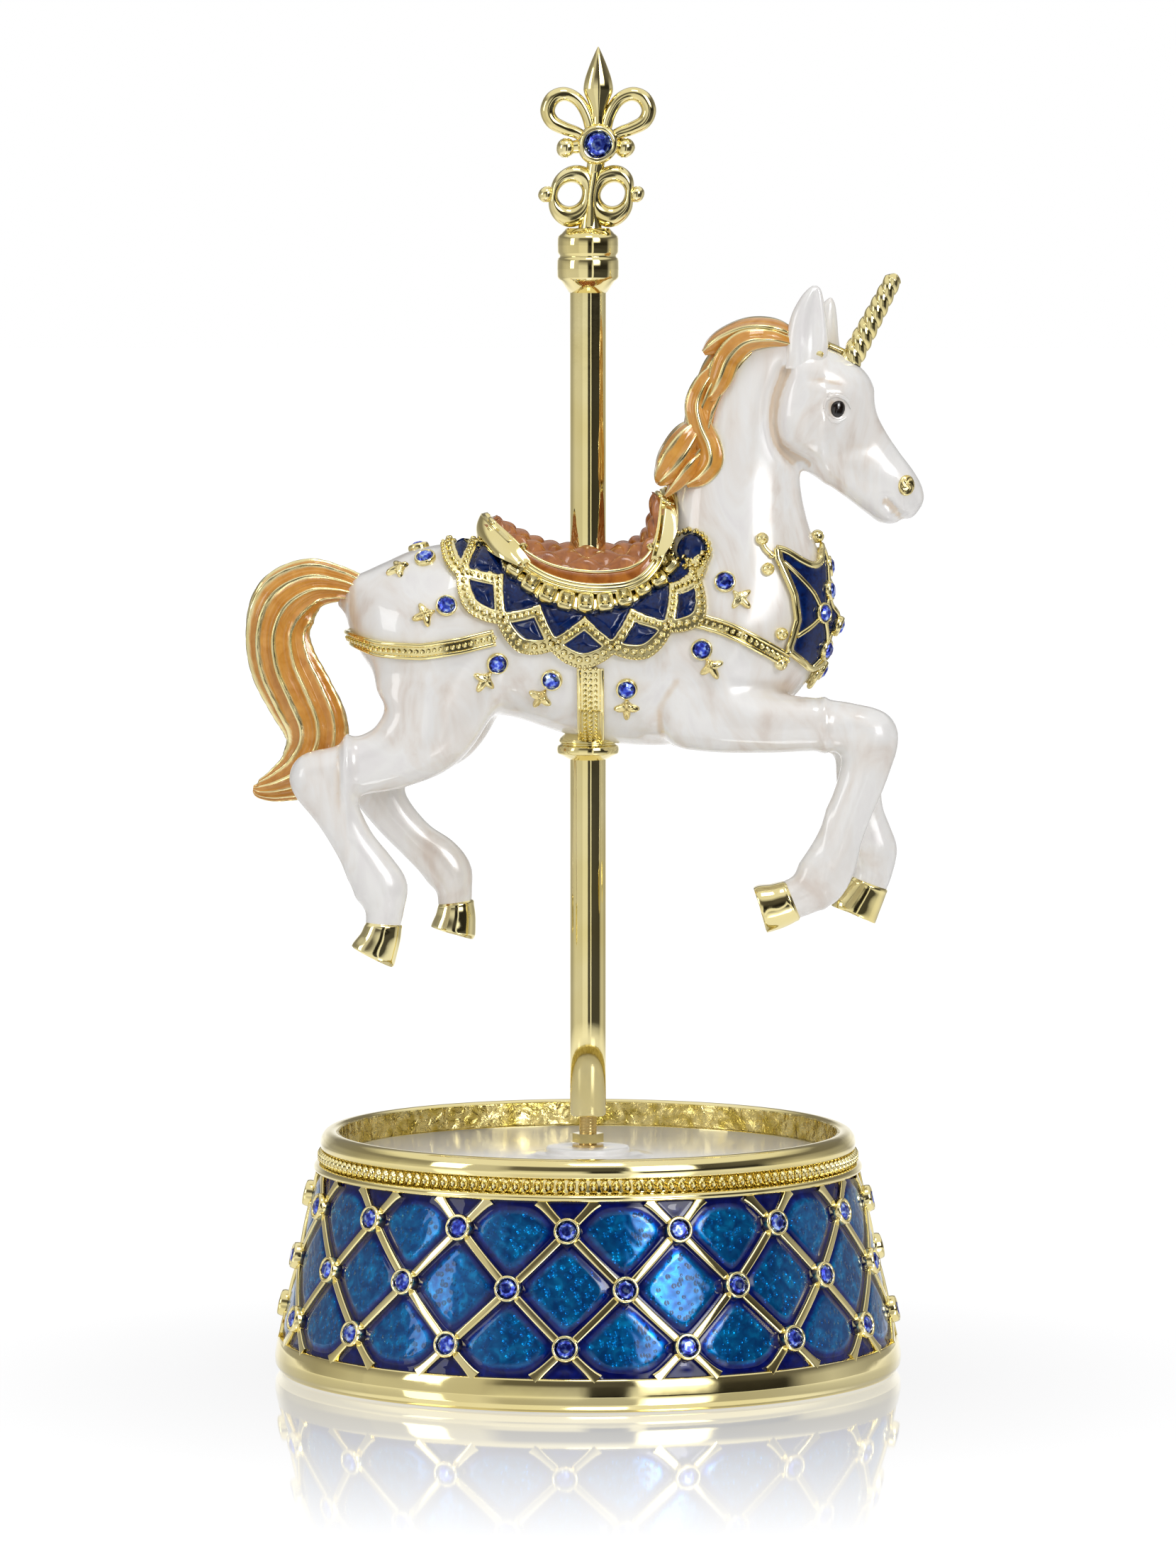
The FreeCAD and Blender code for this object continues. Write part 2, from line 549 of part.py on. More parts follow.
def crown_wheel():
    """Contrate wheel on the barrel lid: radial teeth standing up round the rim."""
    ring = revolved([(9.8, BARREL_TOP), (BARREL_RADIUS, BARREL_TOP), (BARREL_RADIUS, 21.4), (9.8, 21.4)])
    sides = []
    for z, half in ((21.3, 0.42), (22.65, 0.2)):
        corners = [V(10.2, -half, z), V(11.8, -half, z), V(11.8, half, z), V(10.2, half, z)]
        sides.append(Part.makePolygon(corners + corners[:1]))
    tooth = Part.makeLoft(sides, True, True)
    return ring.multiFuse(turned_copies(tooth, CROWN_TEETH))


def spring_barrel():
    """Hollow drum that the mainspring drives, with a lid and a running hole for the winding arbor."""
    return revolved([
        (1.5 + RUNNING_GAP, BARREL_BOTTOM),
        (BARREL_RADIUS, BARREL_BOTTOM),
        (BARREL_RADIUS, BARREL_TOP),
        (0, BARREL_TOP),
        (0, BARREL_TOP - 0.9),
        (BARREL_RADIUS - 0.9, BARREL_TOP - 0.9),
        (BARREL_RADIUS - 0.9, BARREL_BOTTOM + 0.9),
        (1.5 + RUNNING_GAP, BARREL_BOTTOM + 0.9),
    ])


def mainspring():
    """Flat steel spring: five turns of half circles, each stepping outwards."""
    low = BARREL_BOTTOM + 1.2
    height = BARREL_TOP - BARREL_BOTTOM - 2.4
    inner = 2.6
    step = 0.82
    strips = []
    for index in range(10):
        start = inner + step * index
        end = start + step
        sign = 1 if index % 2 == 0 else -1
        radius = (start + end) / 2
        centre = sign * (start - radius)
        turn = 0.0 if sign > 0 else 180.0
        outer = Part.makeCylinder(radius + 0.15, height, V(centre, 0, low), UP, 180.0)
        hollow = Part.makeCylinder(radius - 0.15, height, V(centre, 0, low), UP, 180.0)
        strip = outer.cut(hollow)
        strip.rotate(V(centre, 0, low), UP, turn)
        strips.append(strip)
    return strips[0].multiFuse(strips[1:]).removeSplitter()


def movement_bed():
    """Cast plate that carries the movement, with a clear hole for the winding arbor."""
    plate = block((-18, -20, COVER_TOP), (38.5, 20, 12.0))
    holes = [Part.makeCylinder(1.5 + RUNNING_GAP, 4, V(0, 0, 9))]
    for x, y in bed_screw_places():
        holes.append(Part.makeCylinder(1.05, 4, V(x, y, 9)))
    return plate.cut(holes)


def cylinder_bearings():
    """Two upright plates with running holes for the cylinder's axle."""
    plates = []
    for x in (13.4, 36.4):
        plate = block((x, -3.2, 12.0), (x + 1.4, 3.2, AXLE_HEIGHT))
        plate = plate.fuse(Part.makeCylinder(3.2, 1.4, V(x, 0, AXLE_HEIGHT), EAST))
        hole = Part.makeCylinder(0.9 + RUNNING_GAP, 4, V(x - 1, 0, AXLE_HEIGHT), EAST)
        plates.append(plate.cut(hole))
    return group(plates)


def governor_frame():
    """Bracket with two uprights for the governor wheel and an arm that steadies the fly's arbor."""
    foot = block((20.4, GOVERNOR_Y - 1.5, 12.0), (37.8, 18.4, 15.0))
    left = block((20.4, GOVERNOR_Y - 1.5, 15.0), (21.8, GOVERNOR_Y + 2.2, AXLE_HEIGHT + 1.8))
    right = block((36.4, GOVERNOR_Y - 1.5, 15.0), (37.8, GOVERNOR_Y + 2.2, AXLE_HEIGHT + 1.8))
    post = block((20.4, FLY_Y + 1.5, 15.0), (21.8, FLY_Y + 4.0, 20.5))
    arm = block((20.4, FLY_Y - 1.5, 18.5), (FLY_X + 1.6, FLY_Y + 4.0, 20.5))
    frame = fused([foot, left, right, post, arm])
    holes = [
        rod(0.7 + RUNNING_GAP, V(18, GOVERNOR_Y, AXLE_HEIGHT), V(40, GOVERNOR_Y, AXLE_HEIGHT)),
        rod(0.6 + RUNNING_GAP, V(FLY_X, FLY_Y, 13.5), V(FLY_X, FLY_Y, 22)),
    ]
    holes += [rod(1.05, V(x, y, 11.5), V(x, y, 13.4)) for x, y in bed_screw_places()]
    return frame.cut(holes)


def governor_wheel():
    """Arbor with the small pinion at one end and the worm wheel at the other."""
    axle = rod(0.7, V(20.2, GOVERNOR_Y, AXLE_HEIGHT), V(38.0, GOVERNOR_Y, AXLE_HEIGHT))
    root = DRIVE_MODULE * (GOVERNOR_TEETH / 2 - 1.3)
    tip = DRIVE_MODULE * (GOVERNOR_TEETH / 2 + 0.8)
    pinion = toothed_disc(GOVERNOR_TEETH, root, tip, 0.46, 0.2, 1.4, 0.5)
    wheel = toothed_disc(WORM_WHEEL_TEETH, 2.35, 3.4, 0.44, 0.16, 0.7, 0.625)
    bore = rod(0.7, V(18, GOVERNOR_Y, AXLE_HEIGHT), V(40, GOVERNOR_Y, AXLE_HEIGHT))
    pinion = along_x(pinion, 33.9, GOVERNOR_Y, AXLE_HEIGHT).cut(bore)
    wheel = along_x(wheel, FLY_X - 0.35, GOVERNOR_Y, AXLE_HEIGHT).cut(bore)
    return axle, pinion, wheel


def fly():
    """Worm on an upright arbor with two air-brake blades above it."""
    low = AXLE_HEIGHT - 2.4
    turns = 3.0
    helix = Part.makeHelix(WORM_LEAD, WORM_LEAD * turns, 0.8)
    corners = [V(0.6, 0, -0.42), V(1.75, 0, -0.14), V(1.75, 0, 0.14), V(0.6, 0, 0.42)]
    profile = Part.makePolygon(corners + corners[:1])
    thread = Part.Wire(helix.Edges).makePipeShell([profile], True, True)
    core = Part.makeCylinder(0.9, WORM_LEAD * turns + 1.2, V(0, 0, -0.6))
    worm = core.fuse(thread)
    worm.translate(V(FLY_X, FLY_Y, low))
    lower = rod(0.6, V(FLY_X, FLY_Y, 13.8), V(FLY_X, FLY_Y, low - 0.6))
    upper = rod(0.6, V(FLY_X, FLY_Y, low + WORM_LEAD * turns + 0.6), V(FLY_X, FLY_Y, 33.2))
    blade = block((FLY_X - 4.4, FLY_Y - 0.2, 29.9), (FLY_X + 4.4, FLY_Y + 0.2, 33.0))
    return fused([worm, lower, upper, blade])


def winding_key():
    """Butterfly key under the cover, its arbor up into the barrel and the ratchet wheel on it."""
    hub = Part.makeCylinder(2.6, 7.0, V(0, 0, 1.4))
    wing = Part.makeCylinder(4.6, 1.6, V(6.6, 0.8, 4.9), V(0, -1, 0))
    wing = wing.cut(Part.makeCylinder(2.2, 4, V(7.1, 2, 4.9), V(0, -1, 0)))
    wing = wing.common(block((0, -2, 1.4), (13, 2, 8.4)))
    key = fused([hub] + turned_copies(wing, 2))
    bore = Part.makeCylinder(1.5, 20, V(0, 0, 3.0))
    arbor = Part.makeCylinder(1.5, 16.0, V(0, 0, 3.0))
    points = []
    for index in range(18):
        for radius, turn in ((4.2, 0.05), (5.2, 0.95)):
            angle = 2 * math.pi * (index + turn) / 18
            points.append(V(radius * math.cos(angle), radius * math.sin(angle), 12.25))
    ratchet = Part.Face(Part.makePolygon(points + points[:1])).extrude(V(0, 0, 0.9))
    return key.cut(bore), arbor, ratchet.cut(bore)


def pawl():
    """Click that stops the ratchet wheel from running back, on its own screw."""
    outline = ((5.5, -0.9), (5.5, 0.1), (9.0, 1.6), (11.5, 1.6), (11.5, -1.6), (9.0, -1.6))
    corners = [V(x, y, 12.0) for x, y in outline]
    lever = Part.Face(Part.makePolygon(corners + corners[:1])).extrude(V(0, 0, 1.1))
    return lever


def top_plate():
    """White plate inside the lip with a raised boss round the spindle."""
    bottom = PLATE_TOP - PLATE_THICKNESS
    return revolved([
        (2.6, bottom),
        (LIP_INNER - 0.15, bottom),
        (LIP_INNER - 0.15, PLATE_TOP),
        (10.4, PLATE_TOP),
        (7.5, BOSS_TOP - 0.3, 8.3, PLATE_TOP + 0.3),
        (7.0, BOSS_TOP, 7.35, BOSS_TOP - 0.06),
        (2.6, BOSS_TOP),
    ])


def spindle_bush():
    """Flanged bush that guides the spindle through the plate."""
    bottom = PLATE_TOP - PLATE_THICKNESS
    inner = SPINDLE_RADIUS + RUNNING_GAP
    return revolved([
        (inner, bottom - 1.2),
        (4.2, bottom - 1.2),
        (4.2, bottom),
        (2.6, bottom),
        (2.6, BOSS_TOP + 0.35),
        (inner, BOSS_TOP + 0.35),
    ])


def hexagon(across, low, height):
    """Six-sided bar on the axis."""
    radius = across / math.sqrt(3)
    turns = [math.radians(60 * i) for i in range(6)]
    corners = [V(radius * math.cos(turn), radius * math.sin(turn), low) for turn in turns]
    return Part.Face(Part.makePolygon(corners + corners[:1])).extrude(V(0, 0, height))


def build_base():
    """Drum, enamel, plate and cover."""
    web, stones, cells = lattice()
    save("base_lattice", web)
    save("base_stones", group(stones))
    save("base_enamel", group(cells))
    save("base_shell", drum_shell())
    save("bead_ring", Part.makeTorus(44.7, 0.8, V(0, 0, 36.6), UP))
    save("top_plate", top_plate())
    save("spindle_bush", spindle_bush())
    save("bottom_cover", bottom_cover())
    save("cover_screws", group([countersunk_screw(x, y, COVER_BOTTOM, 1.2, 8.0) for x,
        y in screw_places()]))


def build_movement():
    """Wind-up movement under the plate."""
    save("movement_bed", movement_bed())
    save("bed_screws", group([pan_screw(x, y, COVER_BOTTOM, 1.0, 3.8) for x, y in bed_screw_places()]))
    save("spring_barrel", spring_barrel())
    save("mainspring", mainspring())
    save("crown_wheel", crown_wheel())
    drum, axle, pinion, drive = pinned_cylinder()
    save("cylinder_drum", drum)
    save("cylinder_axle", axle)
    save("cylinder_wheels", group([pinion, drive]))
    save("cylinder_bearings", cylinder_bearings())
    save("comb", comb())
    save("comb_block", comb_block())
    screws = [cheese_screw(x, -18.8, AXLE_HEIGHT + 0.3, 0.85, 6.5) for x in comb_screw_places()]
    save("comb_screws", group(screws))
    save("governor_frame", governor_frame())
    axle, pinion, wheel = governor_wheel()
    save("governor_axle", axle)
    save("governor_wheels", group([pinion, wheel]))
    save("fly", fly())
    key, arbor, ratchet = winding_key()
    save("winding_key", key)
    save("winding_arbor", arbor)
    save("ratchet_wheel", ratchet)
    save("ratchet_pawl", pawl())
    spindle = Part.makeCylinder(SPINDLE_RADIUS, 51.0 - BARREL_TOP, V(0, 0, BARREL_TOP))
    spindle = spindle.fuse(Part.makeCylinder(4.0, 1.0, V(0, 0, BARREL_TOP)))
    save("spindle", spindle)
    nut = hexagon(4.5, 38.0, 1.5).cut(Part.makeCylinder(SPINDLE_RADIUS, 10, V(0, 0, 35)))
    save("lock_nut", nut)
    pole = Part.makeCylinder(POLE_RADIUS, POLE_TOP - POLE_BOTTOM, V(0, 0, POLE_BOTTOM))
    save("pole", pole.cut(Part.makeCylinder(SPINDLE_RADIUS, 9.0, V(0, 0, POLE_BOTTOM))))


def closed_curve(points):
    """Smooth closed wire through points."""
    curve = Part.BSplineCurve()
    curve.interpolate(Points=points, PeriodicFlag=True)
    return Part.Wire(curve.toShape())


def oval(centre, along, half_plane, half_across):
    """Oval section square to a direction in the X-Z plane."""
    across = NORTH
    in_plane = along.cross(across).normalize()
    points = []
    for index in range(10):
        angle = 2 * math.pi * index / 10
        rise = in_plane * (half_plane * math.cos(angle))
        points.append(centre + rise + across * (half_across * math.sin(angle)))
    return closed_curve(points)


def tube(stations, side=1, grow=0.0, last_along=None):
    """Loft of ovals along a path. Stations are (x, y, z, half height in the side view, half width)."""
    places = [V(x, side * y, z) for x, y, z, _, _ in stations]
    wires = []
    for index, (_, _, _, half_plane, half_across) in enumerate(stations):
        before = places[max(index - 1, 0)]
        after = places[min(index + 1, len(places) - 1)]
        along = after - before
        along.y = 0
        if last_along is not None and index == len(places) - 1:
            along = V(last_along)
        wires.append(oval(places[index], along, half_plane + grow, half_across + grow))
    return Part.makeLoft(wires, True, False)


def torso(grow=0.0):
    """Trunk as upright ovals from rump to chest."""
    wires = []
    for x, top, bottom, half in TORSO:
        x_grown = x + math.copysign(grow, x) if abs(x) > 38 else x
        wires.append(oval(V(x_grown, 0, (top + bottom) / 2), EAST, (top - bottom) / 2 + grow, half + grow))
    return Part.makeLoft(wires, True, False)


def head():
    """Head as ovals square to the line from poll to muzzle."""
    normal = V(0.777, 0, 0.63)
    wires = []
    for along, top, bottom, half in HEAD:
        centre = HEAD_START + HEAD_ALONG * along + normal * ((top + bottom) / 2)
        wires.append(oval(centre, HEAD_ALONG, (top - bottom) / 2, half))
    return Part.makeLoft(wires, True, False)


def ear(side, tip, lean):
    """Pointed ear, a little flattened."""
    foot = V(36.6 + lean, side * EAR_SIDE, 169.6)
    wires = []
    sections = ((0, 2.9, 1.7), (0.35, 2.7, 1.7), (0.7, 1.7, 1.2), (1, 0.35, 0.35))
    for share, half_plane, half_across in sections:
        wires.append(oval(foot + (tip - foot) * share, tip - foot, half_plane, half_across))
    return Part.makeLoft(wires, True, False)


def horn():
    """Twisted horn: a three-lobed section turned a step at every level."""
    axis = HORN_TIP - HORN_BASE
    wires = []
    levels = 13
    for level in range(levels):
        share = level / (levels - 1)
        size = 2.0 - 0.75 * share
        points = []
        for index in range(18):
            angle = 2 * math.pi * index / 18
            radius = size * (1 + 0.1 * math.cos(3 * angle))
            turn = angle + math.radians(40) * level
            points.append(V(radius * math.cos(turn), radius * math.sin(turn), axis.Length * share))
        first = round(18 * math.radians(40) * level / (2 * math.pi)) % 18
        wires.append(closed_curve(points[-first:] + points[:-first]))
    return aimed(Part.makeLoft(wires, True, False), HORN_BASE, axis)


def prism(outline, half_width=40.0):
    """Side-view outline carried straight across the animal."""
    corners = [V(x, -half_width, z) for x, z in outline]
    return Part.Face(Part.makePolygon(corners + corners[:1])).extrude(V(0, 2 * half_width, 0))


def trunk_oval(x):
    """Top, bottom and half width of the trunk at a place along it."""
    for (x0, *low), (x1, *high) in zip(TORSO, TORSO[1:]):
        if x0 <= x <= x1:
            share = (x - x0) / (x1 - x0)
            return [a + (b - a) * share for a, b in zip(low, high)]


def skin(x, z, side, grow=0.0):
    """Point and outward normal on the side of the trunk at a place in the side view."""
    def hit(px, pz):
        top, bottom, half = trunk_oval(px)
        lift = (pz - (top + bottom) / 2) / ((top - bottom) / 2 + grow)
        return V(px, side * (half + grow) * math.sqrt(1 - lift * lift), pz)
    here = hit(x, z)
    normal = (hit(x + 0.4, z) - here).cross(hit(x, z + 0.4) - here).normalize()
    return here, normal if normal.y * side > 0 else normal * -1


def chest_point(breast, z):
    """Foremost point of the chest on the middle plane, and its normal."""
    def hit(pz):
        inside = Part.makeLine(V(20, 0, pz), V(60, 0, pz)).common(breast)
        return V(max(vertex.X for vertex in inside.Vertexes), 0, pz)
    slope = hit(z + 0.4) - hit(z - 0.4)
    return hit(z), V(slope.z, 0, -slope.x).normalize()


def neck_point(front, x, z, side):
    """Outermost point of the neck at a place in the side view, and its outward normal."""
    def hit(px, pz):
        inside = Part.makeLine(V(px, 0, pz), V(px, side * 30, pz)).common(front)
        return V(px, side * max(abs(vertex.Y) for vertex in inside.Vertexes), pz)
    here = hit(x, z)
    normal = (hit(x + 0.4, z) - here).cross(hit(x, z + 0.4) - here).normalize()
    return here, normal if normal.y * side > 0 else normal * -1


def biggest(shape):
    """Largest solid of a cut, without the crumbs that a cut can leave."""
    return max(shape.Solids, key=lambda solid: solid.Volume)


def main_pieces(shape, least=2.0):
    """Solids of a cut that are worth keeping."""
    return [solid for solid in shape.Solids if solid.Volume > least]


def build_animal():
    """Trunk, neck and head, legs, hooves, mane, tail, horn and the tack on it."""
    shaft = Part.makeCylinder(POLE_RADIUS + RUNNING_GAP, 200, V(0, 0, POLE_BOTTOM))
    trunk = torso()
    near_ear = ear(-1, V(37.6, -EAR_SIDE - 0.4, 181.0), 0.0)
    far_ear = ear(1, V(39.9, EAR_SIDE + 0.4, 179.2), 1.2)
    front = fused([tube(NECK), head(), near_ear, far_ear]).cut(trunk)
    legs = {}
    hooves = []
    limbs = (
        ("near_fore", -1, NEAR_FORE_UPPER, NEAR_FORE_LOWER, NEAR_FORE_HOOF),
        ("far_fore", 1, FAR_FORE_UPPER, FAR_FORE_LOWER, FAR_FORE_HOOF),
        ("near_hind", -1, NEAR_HIND_UPPER, NEAR_HIND_LOWER, NEAR_HIND_HOOF),
        ("far_hind", 1, FAR_HIND_UPPER, FAR_HIND_LOWER, FAR_HIND_HOOF),
    )
    for name, side, upper, lower, hoof in limbs:
        coronet = V(hoof[1][0] - hoof[0][0], 0, hoof[1][2] - hoof[0][2])
        leg = tube(upper, side).fuse(tube(lower, side, last_along=coronet))
        legs[name] = save("leg_" + name, biggest(leg.cut(trunk)))
        hooves.append(tube(hoof, side))
    save("hooves", group(hooves))
    save("horse_trunk", trunk.cut(shaft))
    horn_shape = horn()
    save("horn", horn_shape.cut(front))
    save("horse_neck_head", front)
    tail = save("tail", tube(TAIL).cut([trunk] + list(legs.values())))
    mane = save("mane", tube(MANE).cut([front, trunk]))
    return trunk, front, legs, mane, tail, shaft


def build_saddle(trunk, front, legs, mane, shaft):
    """Cloth, seat, cantle and pommel, then the straps that run from them."""
    coat = torso(0.9)
    strap_coat = torso(0.55)
    cloth = coat.common(prism(SADDLE_CLOTH)).cut([trunk, front, mane, shaft])
    cloth = save("saddle_cloth", group(main_pieces(cloth)))
    wires = []
    for x, top, bottom, half in SEAT_SECTIONS:
        wires.append(oval(V(x, 0, (top + bottom) / 2), EAST, (top - bottom) / 2, half))
    dome = Part.makeLoft(wires, True, False)
    pad = dome.common(prism(SEAT))
    tree = dome.cut(prism(SEAT + ((12.4, 150.0), (-15.6, 150.0)))).common(prism(SADDLE_TREE))
    cantle = shaped_plate(CANTLE, 7.2, 3.6)
    pommel = shaped_plate(POMMEL, 6.2, 2.4)
    shell = fused([tree, cantle, pommel]).cut([trunk, front, mane, cloth, shaft])
    shell = save("saddle_tree", group(main_pieces(shell)))
    pad = save("saddle_seat", group(main_pieces(pad.cut([trunk, cloth, shell, shaft]))))
    girth = strap_coat.common(prism(GIRTH)).cut([trunk, cloth, shaft])
    girth = save("girth", biggest(girth))
    collar = revolved([
        (POLE_RADIUS + RUNNING_GAP, COLLAR_HEIGHT - 1.3), (4.4, COLLAR_HEIGHT - 1.3),
        (4.4, COLLAR_HEIGHT + 1.3, 5.3, COLLAR_HEIGHT), (POLE_RADIUS + RUNNING_GAP, COLLAR_HEIGHT + 1.3),
    ])
    save("belly_collar", biggest(collar.cut([trunk, girth])))
    hip = strap_coat.common(prism(HIP_STRAP)).cut([cloth, trunk])
    save("hip_strap", group(main_pieces(hip, 0.5)))
    neck_coat = tube(NECK, grow=0.8)
    collar_coat = coat.fuse(neck_coat)
    breast = collar_coat.common(prism(BREAST_COLLAR)).cut([trunk, front])
    breast = save("breast_collar", group(main_pieces(breast)))
    chest = strap_coat.common(prism(CHEST_STRAP)).cut([cloth, breast, trunk])
    save("chest_strap", group(main_pieces(chest, 0.5)))
    chest_block = block((30.0, -20.0, 110.0), (50.0, 20.0, 145.0))
    build_settings(trunk, front, breast, collar_coat.common(chest_block))


def shaped_plate(outline, foot_half, top_half):
    """Side-view outline given width across the animal, narrower towards its top."""
    low = min(z for _, z in outline)
    high = max(z for _, z in outline)
    wide = prism(outline, foot_half)
    corners = [V(0, -foot_half, low), V(0, foot_half, low), V(0, top_half, high), V(0, -top_half, high)]
    trim = Part.Face(Part.makePolygon(corners + corners[:1])).extrude(V(80, 0, 0))
    trim.translate(V(-40, 0, 0))
    return wide.common(trim)


def bedded(shape, places, lift, ground):
    """Copies of a shape standing on places, trimmed where they would sink into the ground below."""
    copies = group([aimed(shape, place + normal * lift, normal) for place, normal in places])
    return main_pieces(copies.cut(ground), 0.5)


def build_settings(trunk, front, breast, coat_of_chest):
    """Stones in their settings on the flanks, neck and chest, then the eyes and nostrils."""
    cup = bezel(1.8, STONE_RADIUS, -1.6, 0.9)
    gem = stone(STONE_RADIUS)
    flank = [skin(x, z, side) for x, z in FLANK_STONES for side in (-1, 1)]
    neck = [neck_point(front, *NECK_STONE, side) for side in (-1, 1)]
    chest = [chest_point(breast, z) for z in CHEST_STONES]
    chest += [skin(35.0, 127.0, side, 0.9) for side in (-1, 1)]
    cups = []
    gems = []
    for places, ground in ((flank, [trunk]), (neck, [trunk, front]), (chest, [coat_of_chest])):
        cups += bedded(cup, places, 0.0, ground)
        gems += bedded(gem, places, 0.8, ground)
    save("body_settings", group(cups))
    save("body_stones", group(gems))
    eyes = group([Part.makeSphere(1.5, V(41.2, side * 4.5, 160.9)) for side in (-1, 1)])
    save("eyes", eyes.cut(front))
    nostrils = group([Part.makeSphere(1.2, V(52.8, side * 2.9, 148.2)) for side in (-1, 1)])
    save("nostrils", nostrils.cut(front))


def spear():
    """Four-sided spear head at the top of the finial."""
    rings = []
    for z, wide, deep in SPEAR:
        corners = [V(wide, 0, z), V(0, deep, z), V(-wide, 0, z), V(0, -deep, z)]
        rings.append(Part.makePolygon(corners + corners[:1]))
    return Part.makeLoft(rings, True, True)


def build_finial():
    """Scrolled finial on a ringed collar at the top of the pole."""
    collar = revolved([
        (0, POLE_TOP), (POLE_RADIUS + 0.15, POLE_TOP), (4.6, 182.2), (4.6, 185.8, 5.2, 184.0), (4.4, 186.2),
        (4.6, 186.5), (4.6, 189.2, 5.2, 187.9), (3.4, 190.2), (0, 190.2),
    ])
    save("finial_collar", collar)
    half = (
        (3.6, 190.2), (5.4, 193.2), (6.7, 196.4), (5.9, 199.6), (3.4, 201.6), (2.0, 203.6), (1.6, 206.5),
    )
    outline = list(half) + [(-x, z) for x, z in reversed(half)]
    corners = [V(x, -1.1, z) for x, z in outline]
    plate = Part.Face(Part.makePolygon(corners + corners[:1])).extrude(V(0, 2.2, 0))
    plate = plate.cut([Part.makeCylinder(1.9, 4, V(x, -2, 196.4), NORTH) for x in (-4.1, 4.1)])
    pieces = [plate, Part.makeCone(1.5, 1.0, 16, V(0, 0, 190.2)), Part.makeCylinder(1.0, 8.5, V(0, 0, 205.0))]
    pieces += [Part.makeTorus(2.75, 0.95, V(x, 0, 196.4), NORTH) for x in (-4.1, 4.1)]
    pieces += [Part.makeSphere(1.4, V(x, 0, 196.4)) for x in (-7.6, 7.6)]
    pieces += [Part.makeSphere(1.5, V(x, 0, 204.0)) for x in (-4.1, 4.1)]
    pieces.append(Part.makeCylinder(2.75, 4.0, V(0, -2.0, 205.0), NORTH))
    for x in (-CURL_ACROSS, CURL_ACROSS):
        pieces.append(Part.makeTorus(CURL_RADIUS, 1.05, V(x, 0, CURL_HEIGHT), NORTH))
    pieces.append(spear())
    scroll = pieces[0]
    for piece in pieces[1:]:
        scroll = scroll.fuse(piece)
    seats = []
    gems = []
    for side in (-1, 1):
        place = V(0, side * 2.0, 205.0)
        seats.append(aimed(Part.makeCone(2.0, 1.0, 1.1), place, V(0, -side, 0)))
        gems.append(aimed(stone(1.9), place, V(0, side, 0)))
    save("finial_scroll", scroll.cut(seats))
    save("finial_stones", group(gems))


build_base()
build_movement()
trunk, front, legs, mane, tail, shaft = build_animal()
build_saddle(trunk, front, legs, mane, shaft)
build_finial()
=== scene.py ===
"""Looks of the carousel unicorn music box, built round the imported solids.

Shapes are worked out in millimetres and stored in metres. The animal faces +X, its near side is -Y.
"""
import json
import math

import bpy
import numpy as np
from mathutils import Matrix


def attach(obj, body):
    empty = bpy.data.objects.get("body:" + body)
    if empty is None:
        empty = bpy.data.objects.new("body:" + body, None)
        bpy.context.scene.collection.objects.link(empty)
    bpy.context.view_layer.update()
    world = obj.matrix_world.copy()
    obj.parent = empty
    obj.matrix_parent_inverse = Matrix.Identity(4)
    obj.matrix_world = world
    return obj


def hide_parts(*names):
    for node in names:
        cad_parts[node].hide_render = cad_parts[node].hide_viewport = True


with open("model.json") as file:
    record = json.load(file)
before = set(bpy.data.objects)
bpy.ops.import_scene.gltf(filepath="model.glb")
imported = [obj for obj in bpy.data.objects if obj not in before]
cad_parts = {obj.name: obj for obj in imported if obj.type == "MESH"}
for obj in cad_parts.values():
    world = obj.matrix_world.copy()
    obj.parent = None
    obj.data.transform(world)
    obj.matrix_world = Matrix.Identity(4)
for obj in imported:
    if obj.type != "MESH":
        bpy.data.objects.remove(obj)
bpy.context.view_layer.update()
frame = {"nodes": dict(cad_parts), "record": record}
nodes = frame["nodes"]
MM = 0.001
TURN = 2 * math.pi


# Shapes as whole arrays

def unit(vectors):
    """Each vector divided by its own length."""
    return vectors / np.maximum(np.linalg.norm(vectors, axis=-1, keepdims=True), 1e-9)


def ease(value, low, high):
    """Smooth step from 0 at low to 1 at high: three t squared minus two t cubed."""
    t = np.clip((value - low) / (high - low), 0.0, 1.0)
    return t * t * (3 - 2 * t)


def smooth_path(stations, count):
    """Cubic curve through the rows of stations, read at count even places along them.

    At each station it runs along half the step from the station before to the one after.
    """
    rows = np.asarray(stations, float)
    padded = np.vstack([2 * rows[0] - rows[1], rows, 2 * rows[-1] - rows[-2]])
    place = np.linspace(0, len(rows) - 1.000001, count)
    index = place.astype(int)
    t = (place - index)[:, None]
    a, b, c, d = (padded[index + k] for k in range(4))
    square = 2 * a - 5 * b + 4 * c - d
    cubic = 3 * b - a - 3 * c + d
    return 0.5 * (2 * b + (c - a) * t + square * t ** 2 + cubic * t ** 3)


def rounded(profile, radius, steps=3):
    """Closed outline with each corner replaced by a quadratic arc between the corner's two sides."""
    corner = np.asarray(profile, float)
    ends = []
    for shift in (1, -1):
        side = np.roll(corner, shift, 0) - corner
        length = np.minimum(radius, 0.45 * np.linalg.norm(side, axis=1))
        ends.append((length[:, None] * unit(side))[:, None])
    t = np.linspace(0, 1, steps + 1)[None, :, None]
    curve = (1 - t) ** 2 * ends[0] + t ** 2 * ends[1] + corner[:, None]
    return curve.reshape(-1, 2)


